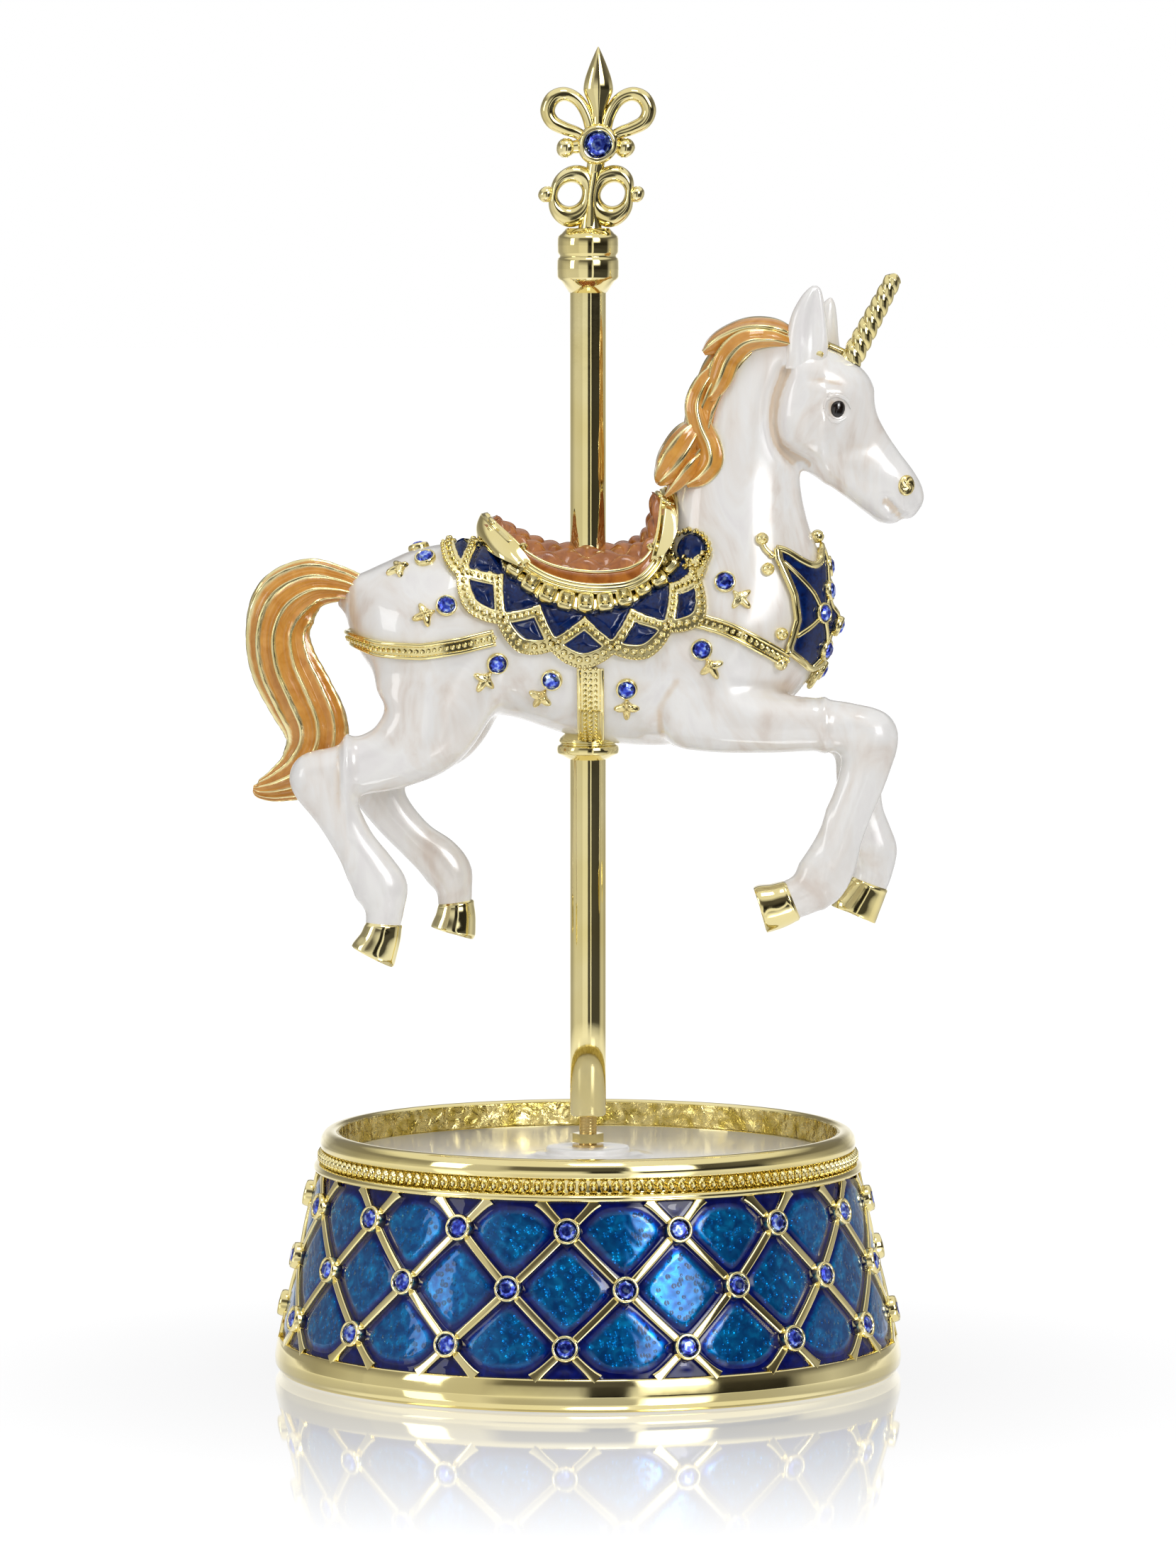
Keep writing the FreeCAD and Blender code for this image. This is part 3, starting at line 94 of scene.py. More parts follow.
def quads_over(rows, columns, wrap_rows, wrap_columns):
    """Four-sided faces over a grid of points, joined across the wrapped sides."""
    index = np.arange(rows * columns).reshape(rows, columns)
    index = np.vstack([index, index[:1]]) if wrap_rows else index
    index = np.hstack([index, index[:, :1]]) if wrap_columns else index
    return np.stack([index[:-1, :-1], index[1:, :-1], index[1:, 1:], index[:-1, 1:]], -1).reshape(-1, 4)


def outward(shape):
    """The same closed shape with its faces turned outwards; its signed volume tells their direction."""
    points, quads, tris = shape
    halves = np.vstack([quads[:, :3], quads[:, [0, 2, 3]], tris])
    a, b, c = (points[halves[:, k]] - points.mean(0) for k in range(3))
    if np.einsum("ij,ij->i", a, np.cross(b, c)).sum() < 0:
        return points, quads[:, ::-1], tris[:, ::-1]
    return shape


NO_TRIS = np.zeros((0, 3), int)


def closed_grid(points):
    """Ring-shaped skin: a grid of points joined to itself both ways."""
    rows, columns = points.shape[:2]
    return outward((points.reshape(-1, 3), quads_over(rows, columns, True, True), NO_TRIS))


def tube(rings):
    """Closed skin over a row of rings, with a fan to the middle of the first and last ring."""
    rows, around = rings.shape[:2]
    points = np.vstack([rings.reshape(-1, 3), rings[0].mean(0), rings[-1].mean(0)])
    first = np.arange(around)
    last = first + (rows - 1) * around
    caps = [np.stack([np.roll(first, -1), first, np.full(around, rows * around)], -1)]
    caps.append(np.stack([last, np.roll(last, -1), np.full(around, rows * around + 1)], -1))
    return outward((points, quads_over(rows, around, False, True), np.vstack(caps)))


def thick(sheet, other):
    """Closed plate between two grids of points: both faces and the four edges."""
    rows, columns = sheet.shape[:2]
    rim = np.concatenate([
        np.arange(columns), np.arange(1, rows) * columns + columns - 1,
        (rows - 1) * columns + np.arange(columns - 2, -1, -1), np.arange(rows - 2, 0, -1) * columns,
    ])
    count = rows * columns
    top = quads_over(rows, columns, False, False)
    sides = np.stack([rim, np.roll(rim, -1), np.roll(rim, -1) + count, rim + count], -1)
    points = np.vstack([sheet.reshape(-1, 3), other.reshape(-1, 3)])
    return outward((points, np.vstack([top, top[:, ::-1] + count, sides[:, ::-1]]), NO_TRIS))


def joined(shapes):
    """Several shapes as one mesh."""
    starts = np.cumsum([0] + [len(shape[0]) for shape in shapes])
    points = np.vstack([shape[0] for shape in shapes])
    quads = np.vstack([shape[1] + start for shape, start in zip(shapes, starts)])
    tris = np.vstack([shape[2] + start for shape, start in zip(shapes, starts)])
    return points, quads, tris


def repeated(shape, places, normals, along=None, sizes=1.0):
    """Copies of one small shape: its x goes along, its z goes along the normal, at every place."""
    points, quads, tris = shape
    places, normals = np.atleast_2d(places), unit(np.atleast_2d(normals).astype(float))
    count = len(places)
    if along is None:
        along = np.where(np.abs(normals[:, 2:]) < 0.9, [[0.0, 0.0, 1.0]], [[1.0, 0.0, 0.0]])
    along = np.broadcast_to(along, normals.shape)
    first = unit(along - (along * normals).sum(1, keepdims=True) * normals)
    second = np.cross(normals, first)
    local = points[None] * np.broadcast_to(np.asarray(sizes, float).reshape(-1, 1, 1), (count, 1, 1))
    world = places[:, None] + local[..., :1] * first[:, None] + local[..., 1:2] * second[:, None]
    world = world + local[..., 2:] * normals[:, None]
    step = (np.arange(count) * len(points))[:, None, None]
    return world.reshape(-1, 3), (quads[None] + step).reshape(-1, 4), (tris[None] + step).reshape(-1, 3)


def lathe(profile, around):
    """Profile of radius and height carried round the Z axis, shut where it starts and ends on the axis."""
    profile = np.asarray(profile, float)
    angle = np.linspace(0, TURN, around, endpoint=False)
    ring = np.stack([np.cos(angle), np.sin(angle)], -1)
    flat = profile[:, None, :1] * ring[None]
    rings = np.concatenate([flat, np.broadcast_to(profile[:, None, 1:], flat[..., :1].shape)], -1)
    if profile[0, 0] < 0.02 and profile[-1, 0] < 0.02:
        return tube(rings)
    return closed_grid(rings)


def swept(path, outline, width, height, up):
    """Outline carried along a path: its x goes across, its y along up, times the width and height there."""
    path, outline = np.asarray(path, float), np.asarray(outline, float)
    tangent = unit(np.gradient(path, axis=0))
    side = unit(np.cross(tangent, np.broadcast_to(up, path.shape)))
    lift = np.cross(side, tangent)
    across = np.broadcast_to(np.asarray(width, float), len(path))[:, None] * outline[:, 0]
    upward = np.broadcast_to(np.asarray(height, float), len(path))[:, None] * outline[:, 1]
    return path[:, None] + side[:, None] * across[..., None] + lift[:, None] * upward[..., None]


def circle(count):
    """Unit circle as an outline."""
    angle = np.linspace(0, TURN, count, endpoint=False)
    return np.stack([np.cos(angle), np.sin(angle)], -1)


def wire(path, size, up, around=12):
    """Round wire along a path: a circle of the given half size carried along it."""
    return tube(swept(path, circle(around), size, size, up))


def ball(around, rings):
    """Small ball of unit radius: rings at even tilts from pole to pole."""
    tilt = np.linspace(0, math.pi, rings + 2)[1:-1, None]
    ring = circle(around)[None]
    level = np.broadcast_to(np.cos(tilt)[..., None], (rings, around, 1))
    return tube(np.concatenate([np.sin(tilt)[..., None] * ring, level], -1))


def pillow(around, rings):
    """Squarish cushion of unit half size: a ball whose coordinates are replaced by their square roots."""
    points, quads, tris = ball(around, rings)
    return np.sign(points) * np.sqrt(np.abs(points)), quads, tris


def stretched(shape, factors):
    """The same shape with its x, y and z multiplied by three factors."""
    return (shape[0] * factors, *shape[1:])


def piece(name, shape, finish, body, replaces=(), values=None, flat=False, sharp=None):
    """Puts a shape into a mesh object that rides on a body; values are per-point attributes."""
    points, quads, tris = shape
    mesh = bpy.data.meshes.new(name)
    corners = np.concatenate([quads.ravel(), tris.ravel()]).astype(np.int32)
    sizes = np.concatenate([np.full(len(quads), 4), np.full(len(tris), 3)])
    mesh.vertices.add(len(points))
    mesh.vertices.foreach_set("co", (points * MM).astype(np.float32).ravel())
    mesh.loops.add(len(corners))
    mesh.loops.foreach_set("vertex_index", corners)
    mesh.polygons.add(len(sizes))
    mesh.polygons.foreach_set("loop_start", (np.cumsum(sizes) - sizes).astype(np.int32))
    mesh.polygons.foreach_set("use_smooth", np.full(len(sizes), not flat))
    for label, numbers in (values or {}).items():
        layer = mesh.attributes.new(label, "FLOAT", "POINT")
        layer.data.foreach_set("value", np.asarray(numbers, np.float32).ravel())
    mesh.update()
    mesh.validate()
    if sharp:
        mesh.set_sharp_from_angle(angle=math.radians(sharp))
    mesh.materials.append(finish)
    thing = bpy.data.objects.new(name, mesh)
    bpy.context.scene.collection.objects.link(thing)
    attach(thing, body)
    if replaces:
        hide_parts(*replaces)


# Finishes

def new_finish(name, colour, metal=0.0, rough=0.3, coat=0.0, coat_rough=0.03):
    """Material with its plain values set on the shader."""
    material = bpy.data.materials.new(name)
    material.use_nodes = True
    shader = material.node_tree.nodes["Principled BSDF"]
    shader.inputs["Base Color"].default_value = (*colour, 1.0)
    shader.inputs["Metallic"].default_value = metal
    shader.inputs["Roughness"].default_value = rough
    shader.inputs["Coat Weight"].default_value = coat
    shader.inputs["Coat Roughness"].default_value = coat_rough
    return material, material.node_tree, shader


def add_node(tree, kind, **values):
    """New node with values set on its named inputs."""
    node = tree.nodes.new(kind)
    for label, value in values.items():
        node.inputs[label.replace("_", " ")].default_value = value
    return node


def place_of(tree):
    """Coordinates of the piece itself, in metres."""
    return tree.nodes.new("ShaderNodeTexCoord").outputs["Object"]


def noise(tree, scale, detail=3.0, distortion=0.0):
    """Noise over the piece's own coordinates; scale is waves in a metre."""
    node = add_node(tree, "ShaderNodeTexNoise", Scale=scale, Detail=detail, Distortion=distortion)
    tree.links.new(place_of(tree), node.inputs["Vector"])
    return node.outputs[0]


def dimples(tree, scale):
    """Irregular round cells over the piece's own coordinates: 0 in the middle of each, growing outwards."""
    node = add_node(tree, "ShaderNodeTexVoronoi", Scale=scale)
    tree.links.new(place_of(tree), node.inputs["Vector"])
    return node.outputs["Distance"]


def feed(tree, source, socket):
    """Links a socket to its source, or sets it where the source is a plain value."""
    if isinstance(source, bpy.types.NodeSocket):
        tree.links.new(source, socket)
    else:
        socket.default_value = source


def worked_out(tree, sum_kind, first, second):
    """Result of one sum on two values."""
    node = tree.nodes.new("ShaderNodeMath")
    node.operation = sum_kind
    feed(tree, first, node.inputs[0])
    feed(tree, second, node.inputs[1])
    return node.outputs[0]


def ramp(tree, source, stops):
    """Colour steps over a value."""
    node = tree.nodes.new("ShaderNodeValToRGB")
    while len(node.color_ramp.elements) < len(stops):
        node.color_ramp.elements.new(0.5)
    for element, (place, colour) in zip(node.color_ramp.elements, stops):
        element.position = place
        element.color = (*colour, 1.0)
    tree.links.new(source, node.inputs[0])
    return node.outputs[0]


def faded(tree, value, low, high, first, last):
    """Value mapped from low..high to first..last."""
    node = add_node(tree, "ShaderNodeMapRange", From_Min=low, From_Max=high, To_Min=first, To_Max=last)
    tree.links.new(value, node.inputs["Value"])
    return node.outputs[0]


def bumped(tree, shader, source, depth):
    """Surface relief from a value; depth in millimetres."""
    node = add_node(tree, "ShaderNodeBump", Strength=1.0, Distance=depth * MM)
    tree.links.new(source, node.inputs["Height"])
    tree.links.new(node.outputs[0], shader.inputs["Normal"])


def point_value(tree, label):
    """A value kept with the points of the piece."""
    node = tree.nodes.new("ShaderNodeAttribute")
    node.attribute_name = label
    return node.outputs["Fac"]


def blended(tree, share, first, second, kind="MIX"):
    """Colour mix of two sources by a share."""
    mix = tree.nodes.new("ShaderNodeMix")
    mix.data_type = "RGBA"
    mix.blend_type = kind
    for source, label in ((share, "Factor"), (first, "A"), (second, "B")):
        feed(tree, source, mix.inputs[label])
    return mix.outputs["Result"]


def metal_finish(name, colour, shade, rough, scale, depth):
    """Plated or worked metal: a little colour change, roughness change and unevenness."""
    material, tree, shader = new_finish(name, colour, 1.0, rough)
    tint = ramp(tree, noise(tree, scale * 0.3, 2.0), ((0.3, shade), (0.7, colour)))
    wear = faded(tree, noise(tree, scale, 4.0), 0.0, 1.0, rough * 0.7, rough * 1.4)
    tree.links.new(tint, shader.inputs["Base Color"])
    tree.links.new(wear, shader.inputs["Roughness"])
    bumped(tree, shader, noise(tree, scale, 3.0), depth)
    return material


GOLD = (0.87, 0.77, 0.42)
GOLD_SHADE = (0.78, 0.66, 0.29)


def two_tone(name, low, low_shade, coat, scale, edge=(0.42, 0.58)):
    """Enamel that gives way to gold where the crest value of the points nears 1."""
    material, tree, shader = new_finish(name, low, 0.0, 0.2, coat, 0.03)
    shader.inputs["Specular IOR Level"].default_value = 0.1
    enamel = ramp(tree, noise(tree, scale, 4.0, 1.2), ((0.3, low_shade), (0.68, low)))
    gold = ramp(tree, noise(tree, scale, 2.0), ((0.3, GOLD_SHADE), (0.7, GOLD)))
    share = ramp(tree, point_value(tree, "crest"), ((edge[0], (0, 0, 0)), (edge[1], (1, 1, 1))))
    tree.links.new(blended(tree, share, enamel, gold), shader.inputs["Base Color"])
    tree.links.new(share, shader.inputs["Metallic"])
    bumped(tree, shader, noise(tree, scale * 1.6, 3.0), 0.01)
    return material


gold_bright = metal_finish("gold bright", GOLD, GOLD_SHADE, 0.06, 300.0, 0.012)
gold_satin = metal_finish("gold satin", GOLD, GOLD_SHADE, 0.07, 110.0, 0.05)
gold_soft = metal_finish("gold soft", GOLD, GOLD_SHADE, 0.24, 500.0, 0.03)
gold_cast = metal_finish("gold cast", GOLD, (0.66, 0.50, 0.18), 0.13, 900.0, 0.06)
steel = metal_finish("steel", (0.62, 0.63, 0.65), (0.50, 0.51, 0.53), 0.28, 900.0, 0.01)
brass = metal_finish("brass", (0.78, 0.60, 0.28), (0.68, 0.50, 0.22), 0.26, 700.0, 0.01)
zinc = metal_finish("zinc casting", (0.60, 0.61, 0.62), (0.48, 0.49, 0.50), 0.42, 500.0, 0.03)


def pearl_finish():
    """Pearl enamel under a clear coat: swirls of warm grey in white, and tan painted shade in the folds."""
    material, tree, shader = new_finish("pearl enamel", (0.88, 0.86, 0.84), 0.0, 0.26, 1.0, 0.03)
    swirl = add_node(tree, "ShaderNodeTexNoise", Scale=70.0, Detail=5.0, Distortion=2.6)
    stretch = add_node(tree, "ShaderNodeMapping", Scale=(1.0, 1.0, 0.45))
    tree.links.new(place_of(tree), stretch.inputs["Vector"])
    tree.links.new(stretch.outputs[0], swirl.inputs["Vector"])
    clear = ramp(tree, swirl.outputs[0], (
        (0.30, (0.78, 0.69, 0.62)), (0.43, (0.90, 0.855, 0.81)),
        (0.56, (0.95, 0.935, 0.915)), (0.74, (0.88, 0.85, 0.845)),
    ))
    # Painted shade: a tan mixed into the colour where the skin is hollow, by the fold values.
    painted_fold_shade = ramp(tree, swirl.outputs[0], ((0.3, (0.72, 0.55, 0.38)), (0.7, (0.84, 0.70, 0.54))))
    tree.links.new(blended(tree, point_value(tree, "fold"), clear, painted_fold_shade), shader.inputs["Base Color"])
    bumped(tree, shader, noise(tree, 130.0, 2.0), 0.05)
    return material


def drum_enamel_finish():
    """Clear blue enamel over a raised ground: navy in the deep borders, teal over the dimpled middle."""
    material, tree, shader = new_finish("drum enamel", (0.01, 0.05, 0.3), 0.0, 0.16, 0.65, 0.02)
    shader.inputs["Specular IOR Level"].default_value = 0.0
    rise = point_value(tree, "rise")
    depth = ramp(tree, rise, (
        (0.05, (0.002, 0.005, 0.105)), (0.45, (0.002, 0.018, 0.18)), (0.90, (0.0005, 0.115, 0.34)),
    ))
    glints = ramp(tree, noise(tree, 520.0, 3.0, 0.6), (
        (0.36, (0.45, 0.5, 0.65)), (0.55, (1.0, 1.0, 1.0)), (0.72, (1.3, 2.0, 1.6)),
    ))
    tree.links.new(blended(tree, 1.0, depth, glints, "MULTIPLY"), shader.inputs["Base Color"])
    tree.links.new(faded(tree, rise, 0.0, 1.0, 0.0, 0.5), shader.inputs["Metallic"])
    dots = faded(tree, dimples(tree, 900.0), 0.10, 0.42, 0.0, 1.0)
    bumped(tree, shader, worked_out(tree, "MULTIPLY", dots, rise), 0.20)
    return material


def crystal_finish():
    """Foil-backed sapphire stone: blue that flashes paler from facet to facet."""
    material, tree, shader = new_finish("sapphire stone", (0.06, 0.10, 0.75), 0.85, 0.04, 0.3, 0.01)
    flash = ramp(tree, noise(tree, 1300.0, 1.0), (
        (0.36, (0.008, 0.014, 0.30)), (0.52, (0.05, 0.11, 0.75)), (0.68, (0.45, 0.60, 1.0)),
    ))
    tree.links.new(flash, shader.inputs["Base Color"])
    return material


def hammered_finish():
    """Gold with fine hammered dents in its relief, and painted glitter: light and dark patches in its
    colour.
    """
    material, tree, shader = new_finish("gold hammered", GOLD, 1.0, 0.10)
    # Painted glitter: the colour goes from dark olive to bright gold by a noise, for light caught by the
    # hammering.
    painted_glitter = noise(tree, 260.0, 4.0, 0.8)
    tint = ramp(tree, painted_glitter, ((0.40, (0.60, 0.46, 0.10)), (0.58, (0.88, 0.74, 0.32))))
    tree.links.new(tint, shader.inputs["Base Color"])
    bumped(tree, shader, noise(tree, 420.0, 5.0, 0.5), 0.9)
    return material


def cloudy_finish(name, colour, shade, rough, coat, scale, depth):
    """Enamel or paint with soft clouds of a second shade."""
    material, tree, shader = new_finish(name, colour, 0.0, rough, coat, 0.03)
    clouds = ramp(tree, noise(tree, scale, 4.0, 1.0), ((0.32, shade), (0.66, colour)))
    tree.links.new(clouds, shader.inputs["Base Color"])
    bumped(tree, shader, noise(tree, scale * 2.0, 2.0), depth)
    return material


pearl = pearl_finish()
gold_hammered = hammered_finish()
drum_enamel = drum_enamel_finish()
crystal = crystal_finish()
plate_white = cloudy_finish("plate white", (0.96, 0.95, 0.94), (0.92, 0.91, 0.90), 0.16, 0.0, 60.0, 0.01)
copper = cloudy_finish("copper enamel", (0.50, 0.165, 0.02), (0.30, 0.078, 0.006), 0.18, 0.45, 420.0, 0.04)
eye_black = cloudy_finish("eye black", (0.004, 0.003, 0.003), (0.012, 0.006, 0.004), 0.1, 0.4, 900.0, 0.005)
cover_black = cloudy_finish("cover black", (0.05, 0.05, 0.055), (0.03, 0.03, 0.035), 0.45, 0.0, 300.0, 0.02)
amber = two_tone("amber enamel", (0.80, 0.40, 0.085), (0.62, 0.255, 0.034), 1.0, 260.0, (0.22, 0.85))
cell_blue = two_tone("cell enamel", (0.001, 0.020, 0.13), (0.001, 0.004, 0.040), 0.5, 900.0)

node_finish = {
    "gold_plate": gold_bright, "blue_enamel": drum_enamel, "blue_crystal": crystal,
    "white_plate": plate_white, "white_enamel": pearl, "amber_enamel": amber, "copper_enamel": copper,
    "eye_enamel": eye_black, "brass": brass, "cover_board": cover_black, "steel": steel, "zinc": zinc,
}
for entry in frame["record"]["subparts"]:
    held = nodes[entry["node"]].data.materials
    held.clear()
    held.append(node_finish[entry["material_slot"]])


def gold_piece(name, shape, replaces=(), sharp=None):
    """Bright gold piece that turns with the carousel."""
    piece(name, shape, gold_bright, "carousel", replaces, sharp=sharp)


def stone_piece(name, shape, body, replaces=()):
    """Cut stones with flat facets."""
    piece(name, shape, crystal, body, replaces, flat=True)


# Drum

FOOT_TOP, WALL_TOP = 5.5, 33.5
WALL_LOW, WALL_HIGH = 51.5, 45.1
ROWS = (10.2, 19.5, 28.8)
ROW_GAP = 9.3
COLUMNS = 16
COLUMN = TURN / COLUMNS
LATTICE_ANGLE = math.radians(-82.9)
HALF_RIB = 0.55
LINING_RADIUS, LINING_BACK = 41.72, 42.1
BEADS, BEAD_RING, BEAD_HEIGHT = 154, 44.5, 35.95

# Turned outlines: radius, height.
SHELL = (
    (47.4, 0), (51.6, 0), (52.4, 1.2), (52.5, 2.6), (52.2, 4.4), (51.9, 5.5), (50.9, 5.5), (44.5, 33.5),
    (45.4, 33.5), (45.9, 33.8), (45.9, 34.4), (45.4, 34.8), (43.9, 34.8), (43.9, 37.1), (44.7, 37.2),
    (44.85, 38.3), (44.6, 39.3), (44.0, 40.0), (43.3, 40.3), (42.4, 40.3), (41.9, 39.8), (41.9, 34.2),
    (39.4, 34.2), (39.4, 32.6), (42.0, 30.5), (46.0, 10.5), (47.4, 10.5),
)
PLATE = (
    (2.6, 34.2), (41.75, 34.2), (41.75, 35.8), (11.0, 35.8), (9.6, 35.95), (8.8, 36.2), (7.3, 36.3),
    (7.1, 36.5), (7.05, 37.0), (6.8, 37.3), (2.6, 37.3),
)
STONE_CUP = (
    (1e-3, -1.2), (2.30, -1.2), (2.30, 0.35), (2.24, 1.05), (2.12, 1.45), (1.92, 1.58), (1.74, 1.48),
    (1.66, 1.2), (1.60, 0.55), (1e-3, 0.5),
)
POLE = ((1e-3, 42.5), (2.7, 42.5), (3.0, 42.8), (3.0, 60.0), (3.0, 120.0), (3.0, 180.0), (1e-3, 180.0))


def at_bearing(radius, angle, z):
    """Points at a radius from the Z axis, a bearing and a height."""
    return np.stack(np.broadcast_arrays(radius * np.cos(angle), radius * np.sin(angle), z), -1)


def wall_radius(z):
    """Radius of the enamel wall at a height: a straight taper."""
    return WALL_LOW + (WALL_HIGH - WALL_LOW) * (z - FOOT_TOP) / (WALL_TOP - FOOT_TOP)


def on_wall(angle, z, offset=0.0):
    """Point on the drum's wall, moved out by an offset."""
    return at_bearing(wall_radius(z) + offset, angle, z)


def wall_normal(angle):
    """Outward direction of the tapered wall."""
    return unit(at_bearing(1.0, angle, (WALL_LOW - WALL_HIGH) / (WALL_TOP - FOOT_TOP)))


def build_lining():
    """Hammered lining of the lip: radius = mean + 0.05 times a product of two sines with wandering phase."""
    turns, heights = np.linspace(0, TURN, 420, endpoint=False), np.linspace(35.9, 39.9, 14)
    angle, z = np.meshgrid(turns, heights, indexing="ij")
    along = np.sin(angle * 37 + 2.6 * np.sin(angle * 11) + z * 1.3)
    upward = np.sin(z * 1.7 + 2.4 * np.sin(angle * 17))
    front = at_bearing(LINING_RADIUS + 0.05 * along * upward, angle, z)
    back = at_bearing(LINING_BACK, angle, z)
    rings = np.concatenate([front, back[:, ::-1]], 1)
    piece("lip_lining", closed_grid(rings), gold_hammered, "base")


def build_enamel():
    """Enamel skin in four quarters: radius = wall - 0.4 + 0.4 rise - hammering. Rise grows with the distance
    from the nearest rib or rim, and the hammering is a product of two slow sines over the raised middles."""
    for quarter in range(4):
        start = LATTICE_ANGLE + quarter * TURN / 4
        turns, heights = np.linspace(start, start + TURN / 4, 281), np.linspace(FOOT_TOP, WALL_TOP, 105)
        angle, z = np.meshgrid(turns, heights, indexing="ij")
        across = (angle - LATTICE_ANGLE) / COLUMN
        upward = (z - ROWS[1]) / ROW_GAP
        slope = np.hypot(1 / (wall_radius(z) * COLUMN), 0.5 / ROW_GAP)
        leans = (across + upward / 2, across - upward / 2)
        gaps = [np.abs(lean - np.round(lean)) / slope for lean in leans]
        rims = [z - FOOT_TOP + 0.4, WALL_TOP + 0.4 - z]
        # Ribs and rims join by a soft minimum, so that the raised middles get rounded corners.
        soft = -np.log(sum(np.exp(-1.3 * gap) for gap in gaps + rims)) / 1.3
        rise = ease(soft - HALF_RIB, 0.35, 1.95)
        hammered = np.sin(angle * 91 + 2.0 * np.sin(z * 0.9)) * np.sin(z * 2.1 + 1.7 * np.sin(angle * 53))
        creep = 0.12 * ease(np.minimum(*gaps) - HALF_RIB, 0.35, 0.0)
        offset = -0.40 + 0.40 * rise - 0.012 * hammered * ease(rise, 0.6, 1.0) + creep
        shape = thick(on_wall(angle, z, offset), on_wall(angle, z, -0.75))
        values = {"rise": np.concatenate([rise.ravel(), rise.ravel()])}
        replaced = ("base_enamel",) if quarter == 0 else ()
        name = f"enamel_quarter_{quarter + 1}"
        piece(name, shape, drum_enamel, "base", replaced, values, sharp=50)


def build_lattice():
    """Flat ribs whose bearing moves half a column per row, both ways, with a cup over every crossing and a
    cut stone in every cup."""
    outline = [(-0.5, -0.9), (0.5, -0.9), (0.5, 0.30), (0.34, 0.42), (-0.34, 0.42), (-0.5, 0.30)]
    outline = rounded(outline, 0.08, 2)
    upward = np.linspace(-1.52, 1.52, 40)
    z = ROWS[1] + upward * ROW_GAP
    flare = 1.3 + 1.0 * np.exp(-np.minimum(z - FOOT_TOP + 0.2, WALL_TOP + 0.2 - z) / 0.7)
    ribs = []
    for lean in (-0.5, 0.5):
        for column in range(COLUMNS):
            angle = LATTICE_ANGLE + (column + lean * upward) * COLUMN
            ribs.append(tube(swept(on_wall(angle, z), outline, flare, 1.0, wall_normal(angle))))
    column, row = np.meshgrid(np.arange(COLUMNS), np.arange(3), indexing="ij")
    angle = (LATTICE_ANGLE + (column + 0.5 * (row != 1)) * COLUMN).ravel()
    normals = wall_normal(angle)
    places = on_wall(angle, np.array(ROWS)[row].ravel())
    stones = repeated(cut_stone(), places + 0.95 * normals, normals, sizes=1.56)
    piece("lattice_ribs", joined(ribs), gold_bright, "base", ("base_lattice",), sharp=45)
    piece("stone_cups", repeated(lathe(STONE_CUP, 28), places, normals), gold_bright, "base")
    stone_piece("drum_stones", stones, "base", ("base_stones",))


def cut_stone():
    """Brilliant stone of unit radius: four rings from the closed underside up to the eight-sided table."""
    girdle = circle(16)
    corners = np.repeat(circle(8), 2, 0)
    facets = (corners + np.roll(corners, -1, 0)) / 2
    rings = ((0.55 * girdle, -0.45), (girdle, 0.0), (0.86 * facets, 0.26), (0.56 * facets, 0.46))
    return tube(np.array([np.column_stack([ring, np.full(16, level)]) for ring, level in rings]))


def build_drum():
    """Turned drum, its lining, enamel, ribs and stones, the row of beads and the plate."""
    shell = lathe(rounded(SHELL, 0.3), 256)
    piece("drum_shell", shell, gold_satin, "base", ("base_shell",), sharp=40)
    build_lining()
    build_enamel()
    build_lattice()
    turn = np.linspace(0, TURN, BEADS, endpoint=False)
    bead = stretched(ball(10, 6), [1.12, 0.76, 0.85])
    beads = repeated(bead, at_bearing(BEAD_RING, turn, BEAD_HEIGHT), at_bearing(1.0, turn, 0.0))
    piece("bead_row", beads, gold_bright, "base", ("bead_ring",))
    plate = lathe(rounded(PLATE, 0.15), 160)
    piece("show_plate", plate, plate_white, "base", ("top_plate",), sharp=50)


def build_pole():
    """Threaded spindle, whose radius is a cosine that turns as it climbs, and the polished pole."""
    angle = np.linspace(0, TURN, 40, endpoint=False)
    z = np.linspace(36.9, 43.4, 130)[:, None]
    ridge = 1.36 + 0.10 * np.cos(angle - TURN * z / 0.5)
    thread = tube(at_bearing(ridge, angle, z))
    piece("spindle_thread", thread, gold_satin, "carousel")
    gold_piece("pole_tube", lathe(POLE, 96), ("pole",), sharp=50)


build_drum()
build_pole()

# The animal's body as a field of distances on a grid, negative inside.

STEP = 0.5
LOW = np.array([-53.0, -17.0, 64.0])
HIGH = np.array([60.0, 17.0, 178.0])
AXES = [np.arange(LOW[k], HIGH[k] + STEP / 2, STEP) for k in range(3)]
COUNTS = np.array([len(axis) for axis in AXES])

# Trunk: x, top, bottom, half width. Head: distance along it, top, bottom, half width.
# Neck and limbs: x, y, z, half height in the side view, half width.
TRUNK = np.array([
    (-40.7, 129.6, 127.2, 1.0), (-40.1, 131.3, 125.2, 2.6), (-38.7, 132.9, 121.6, 5.2),
    (-36.6, 133.9, 118.0, 7.4), (-33.8, 135.2, 114.4, 9.3), (-28.5, 137.4, 111.0, 11.2),
    (-21.0, 138.4, 109.6, 12.0), (-13.0, 136.8, 109.4, 11.8), (-4.0, 134.2, 106.6, 12.2),
    (5.0, 133.6, 104.9, 12.6), (14.0, 135.4, 104.6, 12.6), (22.0, 138.0, 105.6, 12.0),
    (29.0, 139.2, 108.8, 10.8), (34.5, 138.0, 113.0, 8.8), (37.4, 135.6, 116.8, 6.2),
    (39.0, 131.6, 120.4, 3.8), (39.8, 127.8, 124.0, 1.4),
])
